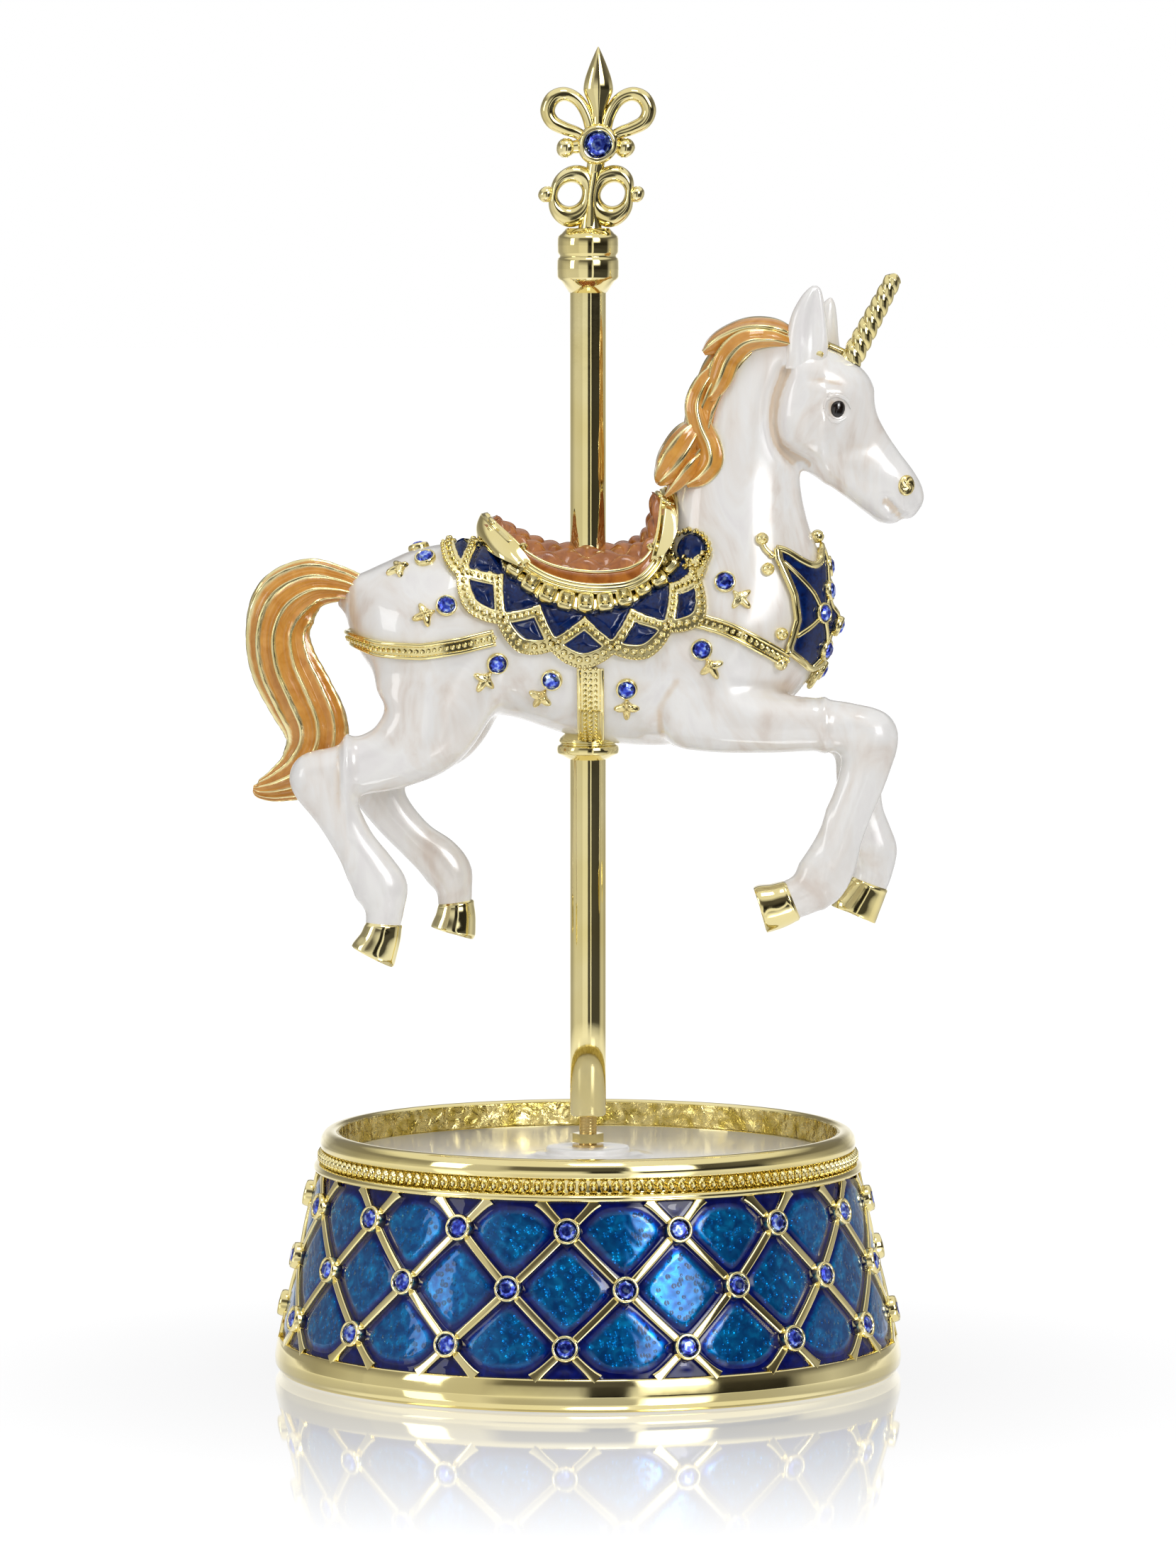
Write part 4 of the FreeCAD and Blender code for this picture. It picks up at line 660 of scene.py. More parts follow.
NECK = (
    (24.5, 0, 126.0, 12.5, 10.5), (24.8, 0, 133.0, 12.6, 10.2), (24.9, 0, 140.0, 11.9, 8.8),
    (25.2, 0, 147.0, 10.5, 7.0), (26.2, 0, 154.5, 8.9, 5.6), (27.4, 0, 161.5, 7.8, 5.0),
    (29.4, 0, 167.0, 6.4, 4.6), (32.0, 0, 170.4, 4.2, 3.8),
)
HEAD_START = np.array([33.5, 0.0, 168.0])
HEAD_ALONG = np.array([0.63, 0.0, -0.777])
HEAD_UP = np.array([0.777, 0.0, 0.63])
HEAD = np.array([
    (-1.6, 4.0, -1.0, 3.0), (1.0, 6.8, -4.5, 5.0), (4.5, 8.7, -7.6, 5.9), (8.0, 9.3, -9.6, 6.2),
    (11.5, 7.9, -9.9, 5.9), (15.0, 6.5, -9.0, 5.0), (19.0, 5.6, -7.6, 4.2), (23.0, 5.2, -6.5, 3.8),
    (27.0, 5.0, -5.6, 3.8), (30.0, 4.2, -5.0, 3.6), (31.7, 2.6, -3.8, 2.8), (32.6, 0.8, -2.2, 1.4),
])
NEAR_FORE = (
    (11.6, -7.2, 109.6, 2.2, 2.2), (14.0, -7.6, 109.8, 4.8, 4.0), (21.0, -8.2, 109.7, 5.7, 4.8),
    (30.0, -8.4, 108.9, 5.0, 4.4), (38.0, -8.4, 108.6, 4.4, 3.9), (43.5, -8.4, 108.0, 4.2, 3.6),
    (46.6, -8.4, 106.4, 4.3, 3.6),
)
NEAR_FORE_SHIN = (
    (47.0, -8.4, 107.0, 4.0, 3.4), (46.5, -8.4, 103.4, 4.2, 3.4), (45.3, -8.4, 99.0, 3.9, 3.1),
    (43.7, -8.4, 94.8, 3.7, 2.8), (42.0, -8.4, 90.2, 3.7, 2.7), (40.4, -8.4, 86.0, 4.3, 3.1),
    (38.4, -8.4, 82.6, 4.5, 3.4), (36.0, -8.4, 80.5, 3.6, 3.1), (33.2, -8.4, 79.3, 3.3, 3.2),
)
FAR_FORE = (
    (11.6, 7.2, 108.8, 2.2, 2.2), (14.0, 7.6, 108.8, 4.8, 4.0), (21.0, 8.2, 108.6, 5.6, 4.8),
    (30.0, 8.4, 107.9, 4.9, 4.4), (38.0, 8.4, 107.4, 4.4, 3.9), (42.6, 8.4, 106.8, 4.2, 3.6),
    (45.8, 8.4, 105.2, 4.1, 3.5),
)
FAR_FORE_SHIN = (
    (46.0, 8.4, 106.0, 3.9, 3.3), (45.6, 8.4, 102.4, 4.0, 3.3), (45.5, 8.4, 97.6, 3.8, 3.0),
    (46.0, 8.4, 93.0, 3.6, 2.8), (47.1, 8.4, 88.8, 4.0, 3.1), (47.8, 8.4, 86.0, 4.2, 3.3),
    (47.8, 8.4, 82.8, 3.4, 3.0), (47.0, 8.4, 80.1, 3.1, 3.1),
)
NEAR_HIND = (
    (-25.0, -5.4, 120.5, 8.6, 4.8), (-25.2, -7.2, 113.5, 9.6, 5.8), (-27.4, -8.0, 107.6, 8.0, 5.4),
    (-32.2, -8.4, 103.6, 5.8, 4.6), (-38.0, -8.5, 101.6, 4.7, 3.9), (-42.4, -8.5, 100.3, 4.4, 3.6),
    (-45.0, -8.5, 99.6, 4.1, 3.3),
)
NEAR_HIND_SHIN = (
    (-45.0, -8.6, 99.8, 4.1, 3.2), (-43.3, -8.6, 97.0, 4.3, 3.2), (-41.2, -8.5, 93.2, 3.7, 2.9),
    (-38.7, -8.5, 88.7, 3.5, 2.8), (-36.0, -8.5, 84.4, 4.1, 3.1), (-34.3, -8.5, 81.0, 4.5, 3.4),
    (-33.8, -8.5, 77.8, 3.3, 2.9), (-34.1, -8.5, 75.0, 2.9, 2.9),
)
FAR_HIND = (
    (-24.0, 5.4, 120.5, 8.6, 4.8), (-23.6, 7.2, 113.5, 9.4, 5.8), (-25.2, 8.0, 107.6, 7.8, 5.4),
    (-29.6, 8.4, 103.6, 5.6, 4.6), (-33.6, 8.5, 101.4, 4.6, 3.9), (-36.6, 8.5, 100.0, 4.2, 3.5),
)
FAR_HIND_SHIN = (
    (-37.0, 8.5, 100.2, 3.8, 3.2), (-35.4, 8.5, 96.4, 4.1, 3.2), (-32.5, 8.5, 92.0, 3.6, 2.9),
    (-28.8, 8.5, 88.0, 3.4, 2.8), (-25.2, 8.5, 84.9, 3.9, 3.1), (-23.2, 8.5, 82.2, 3.9, 3.2),
    (-22.4, 8.5, 79.4, 3.0, 2.8), (-22.4, 8.5, 77.7, 2.9, 2.8),
)

# Both sides of the animal: shoulder, croup, hollow of the flank, cheek, eye socket, brow, hollow below the
# eye, nostril. Centre, half sizes, height.
SWELLS = (
    ((24.0, 11.5, 121.0), (7.0, 5.0, 8.0), 0.9),
    ((-28.0, 11.5, 124.0), (8.0, 5.0, 8.0), 0.8),
    ((-9.0, 12.0, 118.0), (5.0, 5.0, 9.0), -0.8),
    ((35.6, 6.0, 157.6), (4.6, 3.2, 5.4), 1.5),
    ((41.2, 5.6, 160.8), (2.1, 2.2, 2.0), -0.75),
    ((41.0, 5.2, 163.6), (3.0, 2.2, 1.1), 0.75),
    ((44.6, 4.2, 154.6), (4.0, 2.2, 1.6), -0.35),
    ((53.0, 3.6, 148.2), (1.9, 2.0, 2.0), 0.45),
)
# One side or the middle only: notch of the lip, near knee, far knee.
SINGLE_SWELLS = (
    ((54.0, 0.0, 140.4), (2.4, 9.0, 2.1), -3.0),
    ((48.4, -8.4, 105.8), (2.6, 3.6, 2.6), 0.35),
    ((47.4, 8.4, 104.8), (2.6, 3.6, 2.6), 0.35),
)
# Folds at mouth, brow and elbow: route in the side view, width, depth.
FOLDS = (
    (((52.6, 142.0), (51.6, 143.2), (50.4, 144.6), (49.5, 145.5)), 0.6, 1.2),
    (((36.6, 166.0), (40.5, 165.3), (44.0, 163.6)), 0.6, 0.25),
    (((14.5, 116.0), (12.6, 112.5), (12.2, 108.5), (14.0, 105.5)), 1.0, 0.35),
)
JAW_FOLD = ((32.8, 167.0), (31.2, 162.8), (30.7, 158.6), (31.6, 155.0), (33.4, 153.0), (36.0, 151.6))
JAW_SIDES = ((-17, -2.4), (2.4, 17))


def grid_part(low, high):
    """Slices of the grid that hold a box, and the grid's x, y and z there."""
    first = np.clip(np.floor((np.asarray(low) - LOW) / STEP).astype(int), 0, COUNTS - 2)
    last = np.clip(np.ceil((np.asarray(high) - LOW) / STEP).astype(int) + 1, first + 2, COUNTS)
    part = tuple(slice(a, b) for a, b in zip(first, last))
    return part, [axis[span] for axis, span in zip(AXES, part)]


def nearest_on(path, x, z):
    """Side-view distance from every x, z to a path, and the path's row there."""
    x, z = np.broadcast_arrays(x[:, None], z[None])
    start, run = path[:-1, None, None], np.diff(path, axis=0)[:, None, None]
    across, upward = x[None] - start[..., 0], z[None] - start[..., 2]
    share = (across * run[..., 0] + upward * run[..., 2]) / (run[..., 0] ** 2 + run[..., 2] ** 2)
    share = np.clip(share, 0, 1)
    gap = (across - share * run[..., 0]) ** 2 + (upward - share * run[..., 2]) ** 2
    best = gap.argmin(0)
    share = np.take_along_axis(share, best[None], 0)[0][..., None]
    return np.sqrt(gap.min(0)), path[best] + share * (path[best + 1] - path[best])


def join_limb(field, stations, blend):
    """Adds an oval tube along stations: distance = k (k - 1) / g for k the oval radius and g its slope,
    joined to the field by a soft minimum."""
    path = smooth_path(stations, 10 * (len(stations) - 1) + 1)
    reach = path[:, 3:5].max() + blend + 1.5
    part, (x, y, z) = grid_part(path[:, :3].min(0) - reach, path[:, :3].max(0) + reach)
    gap, row = nearest_on(path, x, z)
    u, v = gap[:, None], y[None, :, None] - row[:, None, :, 1]
    tall, wide = row[:, None, :, 3], row[:, None, :, 4]
    k = np.sqrt((u / tall) ** 2 + (v / wide) ** 2)
    slope = np.sqrt((u / tall ** 2) ** 2 + (v / wide ** 2) ** 2)
    distance = k * (k - 1) / np.maximum(slope, 1e-3)
    old = field[part]
    share = np.clip(0.5 + 0.5 * (old - distance) / blend, 0, 1)
    field[part] = old * (1 - share) + distance * share - blend * share * (1 - share)


def swell(field, centre, radii, amount):
    """Raises the skin round a centre by amount times a bell curve over an oval."""
    centre, radii = np.array(centre), np.array(radii)
    part, axes = grid_part(centre - 2.2 * radii, centre + 2.2 * radii)
    x, y, z = (((axes[k] - centre[k]) / radii[k]) ** 2 for k in range(3))
    field[part] -= amount * np.exp(-(x[:, None, None] + y[:, None] + z))


def crease(field, route, width, depth, sides=(-17, 17)):
    """Presses a line into the animal's sides: depth times a bell curve of the gap to a side-view route."""
    route = np.array(route)
    path = smooth_path(np.column_stack([route[:, 0], 0 * route[:, 0], route[:, 1]]), 8 * len(route))
    low, high = path.min(0) - 3 * width, path.max(0) + 3 * width
    low[1], high[1] = sides
    part, (x, _, z) = grid_part(low, high)
    gap, _ = nearest_on(path, x, z)
    field[part] += depth * np.exp(-(gap / width) ** 2)[:, None]


def trunk_field():
    """Upright ovals along x: distance = (k - 1) / slope of k, for k the oval radius at that x."""
    rows = smooth_path(TRUNK, 260)
    top, bottom, half = (np.interp(AXES[0], rows[:, 0], rows[:, k]) for k in (1, 2, 3))
    past = np.maximum(np.maximum(rows[0, 0] - AXES[0], AXES[0] - rows[-1, 0]), 0)
    rise = (AXES[2] - ((top + bottom) / 2)[:, None]) / ((top - bottom) / 2)[:, None]
    across = AXES[1] / half[:, None]
    radius = np.sqrt(rise[:, None] ** 2 + across[..., None] ** 2 + (past / 1.2)[:, None, None] ** 2)
    slope = np.sqrt(sum(grade ** 2 for grade in np.gradient(radius, STEP)))
    return np.clip((radius - 1) / np.maximum(slope, 0.02), -14.0, 14.0)


def body_field():
    """Trunk, neck, legs and head joined softly, muscles raised, folds pressed in, and all smoothed once."""
    field = trunk_field()
    join_limb(field, NECK, 4.0)
    for thigh in (NEAR_HIND, FAR_HIND):
        join_limb(field, thigh, 4.5)
    for arm in (NEAR_FORE, FAR_FORE):
        join_limb(field, arm, 2.6)
    for shin in (NEAR_FORE_SHIN, FAR_FORE_SHIN, NEAR_HIND_SHIN, FAR_HIND_SHIN):
        join_limb(field, shin, 2.0)
    middle = HEAD_START + HEAD[:, :1] * HEAD_ALONG + HEAD[:, 1:3].mean(1)[:, None] * HEAD_UP
    join_limb(field, np.column_stack([middle, (HEAD[:, 1] - HEAD[:, 2]) / 2, HEAD[:, 3]]), 1.6)
    for (x, y, z), radii, amount in SWELLS:
        for side in (-1, 1):
            swell(field, (x, side * y, z), radii, amount)
    for centre, radii, amount in SINGLE_SWELLS:
        swell(field, centre, radii, amount)
    for sides in JAW_SIDES:
        crease(field, JAW_FOLD, 0.9, 2.0, sides)
    for route, width, depth in FOLDS:
        crease(field, route, width, depth)
    for axis in range(3):
        field = 0.5 * field + 0.25 * (np.roll(field, 1, axis) + np.roll(field, -1, axis))
    return field


def sampled(field, points):
    """Field values at points, straight-line mix of the eight corners around each."""
    place = np.clip((points - LOW) / STEP, 0, COUNTS - 1.001)
    index = place.astype(int)
    share = place - index
    total = 0.0
    for corner in range(8):
        offset = np.array([corner & 1, corner >> 1 & 1, corner >> 2])
        weight = np.where(offset, share, 1 - share).prod(-1)
        at = index + offset
        total = total + weight * field[at[..., 0], at[..., 1], at[..., 2]]
    return total


def slope_of(field, points):
    """Direction in which the field grows, from differences one step either way."""
    steps = np.eye(3) * STEP
    change = [sampled(field, points + step) - sampled(field, points - step) for step in steps]
    return np.stack(change, -1) / (2 * STEP)


def onto_skin(field, points, lift=0.0, turns=8):
    """Points moved along the slope onto the skin, then lifted off it, and the outward directions there."""
    points = np.asarray(points, float)
    for _ in range(turns):
        slope = slope_of(field, points)
        share = sampled(field, points) / np.maximum((slope ** 2).sum(-1), 0.05)
        points = points - 0.8 * share[..., None] * slope
    normal = unit(slope_of(field, points))
    return points + np.asarray(lift)[..., None] * normal, normal


def skin_of(field):
    """Skin where the field is zero: one point in every cell that the skin crosses, at the mean of the places
    where it crosses the cell's edges, and one face over every grid edge that it crosses."""
    inside = field < 0
    shape = tuple(COUNTS - 1)
    total = np.zeros(shape + (3,), np.float32)
    crossings = np.zeros(shape, np.float32)
    masks = []
    for k in range(3):
        low = [slice(None)] * 3
        high = [slice(None)] * 3
        low[k], high[k] = slice(None, -1), slice(1, None)
        low, high = tuple(low), tuple(high)
        crossed = inside[low] != inside[high]
        share = np.where(crossed, field[low] / np.where(crossed, field[low] - field[high], 1.0), 0.0)
        masks.append((crossed, inside[low]))
        others = [axis for axis in range(3) if axis != k]
        for a in (0, 1):
            for b in (0, 1):
                part = [slice(None)] * 3
                part[others[0]] = slice(a, a + shape[others[0]])
                part[others[1]] = slice(b, b + shape[others[1]])
                hit = crossed[tuple(part)]
                crossings += hit
                total[..., k] += share[tuple(part)]
                total[..., others[0]] += a * hit
                total[..., others[1]] += b * hit
    used = crossings > 0
    number = np.full(shape, -1, np.int64)
    number[used] = np.arange(used.sum())
    points = LOW + STEP * (np.argwhere(used) + total[used] / crossings[used][:, None])
    faces = []
    for k, (crossed, first_inside) in enumerate(masks):
        others = [axis for axis in range(3) if axis != k]
        index = np.argwhere(crossed)
        index = index[(index[:, others[0]] > 0) & (index[:, others[1]] > 0)]
        index = index[(index[:, others[0]] < shape[others[0]]) & (index[:, others[1]] < shape[others[1]])]
        ring = []
        for a, b in ((-1, -1), (0, -1), (0, 0), (-1, 0)):
            cell = index.copy()
            cell[:, others[0]] += a
            cell[:, others[1]] += b
            ring.append(number[cell[:, 0], cell[:, 1], cell[:, 2]])
        ring = np.stack(ring, -1)
        turn = first_inside[index[:, 0], index[:, 1], index[:, 2]] ^ (k == 1)
        faces.append(np.where(turn[:, None], ring, ring[:, ::-1]))
    return outward((points, np.vstack(faces), NO_TRIS))


def hollows(field, points):
    """How hollow the skin is at each point, 0 to 0.8: the field's summed second differences, reversed."""
    bend = sum(np.roll(field, 1, axis) + np.roll(field, -1, axis) for axis in range(3)) - 6 * field
    return 0.8 * ease(-sampled(bend, points) / STEP ** 2, 0.12, 0.70)


field = body_field()
body_skin = skin_of(field)
relaxed, _ = onto_skin(field, body_skin[0], turns=2)
# The fold values say how hollow the skin is, and set where the pearl finish paints shade.
piece("unicorn_body", (relaxed, body_skin[1], NO_TRIS), pearl, "carousel", (
    "horse_trunk", "horse_neck_head", "leg_near_fore", "leg_far_fore", "leg_near_hind", "leg_far_hind",
), {"fold": hollows(field, relaxed)})


# Hair, horn, ears, eyes, hooves

def side_table(side):
    """For every x, z of the grid: the y where the skin is met from that side, 0 where it is missed."""
    inside = (field if side < 0 else field[:, ::-1]) < 0
    first = np.maximum(inside.argmax(1), 1)
    return np.where(inside.any(1), -side * (AXES[1][first] - STEP / 2), 0.0)


TABLES = {-1: side_table(-1), 1: side_table(1)}


def on_side(x, z, side, lift):
    """Places on the animal's side seen at x, z, lifted off the skin, and the outward directions."""
    x, z = np.broadcast_arrays(np.asarray(x, float), np.asarray(z, float))
    column = np.clip(np.round((x - LOW[0]) / STEP).astype(int), 0, COUNTS[0] - 1)
    row = np.clip(np.round((z - LOW[2]) / STEP).astype(int), 0, COUNTS[2] - 1)
    y = TABLES[side][column, row]
    return onto_skin(field, np.stack([x, y, z], -1), lift + 0 * x, turns=4)


def lock_of_hair(stations, ridges, twist, along=56, around=40):
    """Lock of hair: an oval with ridges, cosines of the angle, carried along a path; ridge tops are crests.

    Stations: x, y, z, half width in the side view, half thickness.
    """
    rows = smooth_path(stations, along)
    angle = np.linspace(0, TURN, around, endpoint=False)
    turn = angle[None] + twist * np.linspace(0, 1, along)[:, None]
    wave = np.cos(ridges * turn)
    radius = 1 + 0.12 * wave + 0.05 * np.cos(2 * ridges * turn + 0.7)
    tangent = unit(np.gradient(rows[:, :3], axis=0))
    side = unit(np.cross(tangent, [0.0, 1.0, 0.0]))
    deep = np.cross(side, tangent)
    rings = rows[:, None, :3] + side[:, None] * (radius * np.cos(angle))[..., None] * rows[:, None, 3:4]
    rings = rings + deep[:, None] * (radius * np.sin(angle))[..., None] * rows[:, None, 4:5]
    crest = ease(wave, 0.35, 1.0)
    return tube(rings), np.concatenate([crest.ravel(), [1.0, 1.0]])


# Locks on one side: stations, ridges.
MANE_LOCKS = (
    ((
        (34.2, -2.2, 173.0, 0.8, 1.0), (31.0, -2.4, 174.0, 1.5, 2.0), (26.8, -2.0, 174.0, 1.7, 2.2),
        (23.0, -1.6, 172.6, 1.6, 2.0), (20.6, -1.4, 171.0, 1.3, 1.5), (19.2, -1.4, 170.0, 0.5, 0.6),
    ), 4),
    ((
        (33.8, -3.2, 171.8, 0.8, 0.9), (30.0, -3.6, 172.6, 1.4, 1.9), (26.0, -3.7, 172.0, 1.8, 2.2),
        (23.3, -3.8, 169.4, 2.0, 2.2), (22.0, -3.9, 166.0, 1.9, 2.0), (20.8, -3.8, 163.4, 1.2, 1.4),
        (19.6, -3.6, 162.2, 0.4, 0.5),
    ), 5),
    ((
        (21.6, -2.4, 168.0, 0.8, 1.2), (19.2, -2.8, 165.2, 1.4, 1.9), (17.9, -3.2, 161.6, 1.7, 2.1),
        (18.6, -3.7, 158.0, 1.8, 2.2), (20.1, -4.4, 154.8, 1.9, 2.2), (20.4, -4.9, 152.0, 1.9, 2.0),
        (18.8, -5.0, 149.6, 1.5, 1.6), (16.4, -4.8, 148.2, 0.5, 0.6),
    ), 5),
    ((
        (18.6, -3.0, 158.6, 0.9, 1.2), (16.8, -3.6, 156.2, 2.2, 2.2), (15.0, -4.2, 153.2, 2.7, 2.5),
        (13.4, -4.6, 150.8, 2.3, 2.2), (12.2, -4.6, 149.2, 1.4, 1.5), (11.6, -4.4, 148.4, 0.5, 0.6),
    ), 6),
    ((
        (18.8, -4.2, 153.6, 0.7, 0.9), (17.0, -4.8, 151.6, 1.5, 1.6), (15.4, -5.0, 149.4, 1.3, 1.4),
        (14.0, -4.8, 147.6, 0.8, 0.9), (12.9, -4.4, 146.4, 0.3, 0.4),
    ), 4),
)
CREST = (
    (31.0, 0, 173.2, 1.6, 2.6), (26.0, 0, 171.4, 2.6, 4.0), (22.4, 0, 167.0, 3.0, 4.6),
    (19.8, 0, 161.0, 2.8, 4.6), (18.4, 0, 155.0, 3.0, 5.0), (15.4, 0, 150.4, 2.6, 4.6),
    (13.2, 0, 147.8, 1.0, 2.0),
)


def build_mane():
    """Mane: a ridge down the neck with curled locks on both sides."""
    locks = [lock_of_hair(CREST, 9, 1.0, 90, 64)]
    for side in (1, -1):
        for stations, ridges in MANE_LOCKS:
            locks.append(lock_of_hair(np.array(stations) * [1, side, 1, 1, 1], ridges, 0.6))
    shapes, crests = zip(*locks)
    values = {"crest": np.concatenate(crests)}
    piece("mane_locks", joined(shapes), amber, "carousel", ("mane",), values)


TAIL = (
    (-37.6, 0, 130.6, 2.0, 2.4), (-41.6, 0, 131.6, 2.7, 2.9), (-46.2, 0, 131.4, 3.9, 3.5),
    (-50.2, 0, 128.4, 4.9, 4.0), (-51.8, 0, 123.6, 4.7, 4.2), (-50.8, 0, 118.2, 4.9, 4.2),
    (-48.0, 0, 113.0, 5.0, 4.0), (-45.6, 0, 108.4, 4.8, 3.7), (-45.4, 0, 104.2, 4.5, 3.3),
    (-47.8, 0, 100.2, 3.9, 2.8), (-51.6, 0, 98.0, 2.6, 2.0), (-54.6, 0, 97.2, 1.5, 1.3),
    (-55.9, 0, 97.3, 0.5, 0.5),
)


def build_tail():
    """Tail: one thick curved lock with deep strands and gold ridge lines."""
    shape, crest = lock_of_hair(TAIL, 11, 1.5, 150, 132)
    piece("tail_hair", shape, amber, "carousel", ("tail",), {"crest": crest})


HORN_START, HORN_END = np.array([43.6, 0, 168.6]), np.array([51.2, 0, 183.1])
HORN_PITCH = 6.2
BROW_BAND = ((38.3, 169.4), (38.7, 170.7), (39.7, 171.5), (41.2, 171.4), (42.8, 170.6))


def build_horn():
    """Twisted horn: a three-lobed section that turns as it climbs to a blunt end; gold bands at the brow."""
    share = np.linspace(0, 1, 150)
    path = HORN_START + share[:, None] * (HORN_END - HORN_START)
    length = np.linalg.norm(HORN_END - HORN_START)
    angle = np.linspace(0, TURN, 48, endpoint=False)
    lobes = 0.88 + 0.17 * np.abs(np.cos(1.5 * (angle[None] - TURN * share[:, None] * length / HORN_PITCH)))
    size = (1.95 - 0.55 * share) * np.sqrt(np.clip((1 - share) / 0.06, 0.02, 1))
    side = np.array([0.0, 1.0, 0.0])
    lean = np.cross(side, unit(HORN_END - HORN_START))
    radius = (lobes * size[:, None])[..., None]
    rings = path[:, None] + radius * np.cos(angle)[:, None] * side + radius * np.sin(angle)[:, None] * lean
    gold_piece("horn_twist", tube(rings), ("horn",))
    bands = []
    for hand in (-1, 1):
        route = smooth_path(BROW_BAND, 40)
        band, normal = on_side(route[:, 0], route[:, 1], hand, 0.45)
        width = 0.45 + 0.6 * np.sin(math.pi * np.linspace(0.05, 0.95, 40))
        bands.append(tube(swept(band, circle(14), width, 0.55, normal)))
    gold_piece("brow_bands", joined(bands))


# Ears: side, y, then stations of x, z, half width, half depth.
EARS = (
    (-1, 3.4, (
        (36.0, 167.5, 3.3, 1.6), (36.3, 170.5, 3.5, 1.9), (36.4, 173.3, 3.4, 1.8),
        (36.6, 176.6, 2.8, 1.6), (37.1, 179.2, 1.9, 1.3), (37.5, 180.6, 1.1, 0.9),
        (37.6, 181.2, 0.35, 0.3),
    )),
    (1, 3.4, (
        (39.2, 167.0, 2.8, 1.5), (39.2, 170.0, 2.8, 1.8), (39.3, 173.0, 2.4, 1.7),
        (39.6, 175.6, 1.9, 1.4), (40.0, 177.8, 1.2, 1.0), (40.3, 178.8, 0.5, 0.5),
        (40.4, 179.1, 0.12, 0.12),
    )),
)


def build_ears():
    """Pointed ears: an oval carried upwards, pressed in along the outer face by a bell curve."""
    angle = np.linspace(0, TURN, 40, endpoint=False)
    shapes = []
    for side, y, stations in EARS:
        row = smooth_path(stations, 44)
        climb = np.linspace(0, 1, 44)[:, None]
        face = np.exp(-((np.cos(angle) - 0.25) / 0.45) ** 2) * np.clip(np.sin(angle), 0, 1)
        hollow = face * np.sin(math.pi * np.clip(climb * 1.1, 0, 1)) ** 0.6
        x = row[:, :1] + row[:, 2:3] * np.cos(angle)
        depth = row[:, 3:4] * (np.sin(angle) - hollow * 0.62)
        rings = np.stack(np.broadcast_arrays(x, side * (y - 0.5 * climb + depth), row[:, 1:2]), -1)
        shapes.append(tube(rings))
    piece("ears", joined(shapes), pearl, "carousel")


def dome(wide, tall, high, bumps=0.0):
    """Low oval button: height follows the square root of one minus the radius squared."""
    share = np.sin(np.linspace(0.02, 1, 10) * math.pi / 2)[::-1]
    angle = np.linspace(0, TURN, 28, endpoint=False)
    level = high * np.sqrt(np.clip(1 - share ** 2, 0, 1))
    level = level[:, None] + bumps * np.sin(5 * angle + 9 * share[:, None]) * (1 - share[:, None] ** 3)
    x, y = tall * share[:, None] * np.cos(angle), wide * share[:, None] * np.sin(angle)
    rings = np.stack([x, y, level], -1)
    base = rings[:1] * [1, 1, 0] - [0, 0, 0.6]
    return tube(np.concatenate([base, rings]))


SIDES = ((-1, "near"), (1, "far"))
# Eye, nostril and lids: x, z.
EYE, NOSTRIL = (41.3, 160.9), (53.0, 148.2)
EYELIDS = (
    ((39.0, 161.0), (39.7, 162.6), (41.2, 163.2), (42.8, 162.4), (43.6, 160.9)),
    ((39.2, 160.6), (40.1, 159.3), (41.4, 158.8), (42.9, 159.5)),
)


def build_face():
    """Dark eyes with lids and gold nostrils on both sides of the head."""
    upright = np.array([0.25, 0.0, 1.0])
    lid_width = 0.42 * np.sin(math.pi * np.linspace(0.08, 0.92, 30))
    for side, word in SIDES:
        eye = repeated(dome(1.3, 1.6, 0.8), *on_side(*EYE, side, -0.1), upright)
        nostril = repeated(dome(1.4, 1.75, 0.55, 0.14), *on_side(*NOSTRIL, side, -0.05), upright)
        lids = []
        for route in EYELIDS:
            line = smooth_path(route, 30)
            path, out = on_side(line[:, 0], line[:, 1], side, 0.02)
            lids.append(tube(swept(path, circle(10), lid_width, 0.34, out)))
        eyes, nostrils = (("eyes",), ("nostrils",)) if side < 0 else ((), ())
        piece(f"eye_{word}", eye, eye_black, "carousel", eyes)
        piece(f"eyelids_{word}", joined(lids), pearl, "carousel")
        piece(f"nostril_{word}", nostril, gold_cast, "carousel", nostrils)


# Hooves: x, y, z, half width in the side view, half thickness.
HOOVES = (
    (
        (34.0, -8.4, 79.6, 3.35, 3.2), (33.0, -8.4, 79.2, 3.75, 3.6), (31.0, -8.4, 78.5, 4.0, 3.8),
        (29.0, -8.4, 78.1, 4.2, 4.0), (28.6, -8.4, 78.0, 3.9, 3.7),
    ),
    (
        (47.2, 8.4, 80.9, 3.15, 3.2), (46.8, 8.4, 79.9, 3.5, 3.5), (45.7, 8.4, 78.0, 3.9, 3.7),
        (44.6, 8.4, 76.2, 4.3, 3.9), (44.4, 8.4, 75.8, 4.0, 3.6),
    ),
    (
        (-34.1, -8.5, 75.6, 2.95, 2.9), (-34.2, -8.5, 74.6, 3.3, 3.3), (-34.8, -8.5, 72.6, 3.6, 3.5),
        (-35.8, -8.5, 70.5, 4.1, 3.7), (-36.0, -8.5, 70.1, 3.8, 3.4),
    ),
    (
        (-22.4, 8.5, 77.6, 2.95, 2.8), (-22.3, 8.5, 76.7, 3.25, 3.2), (-22.4, 8.5, 74.9, 3.6, 3.4),
        (-22.8, 8.5, 72.9, 4.0, 3.7), (-22.9, 8.5, 72.5, 3.7, 3.4),
    ),
)


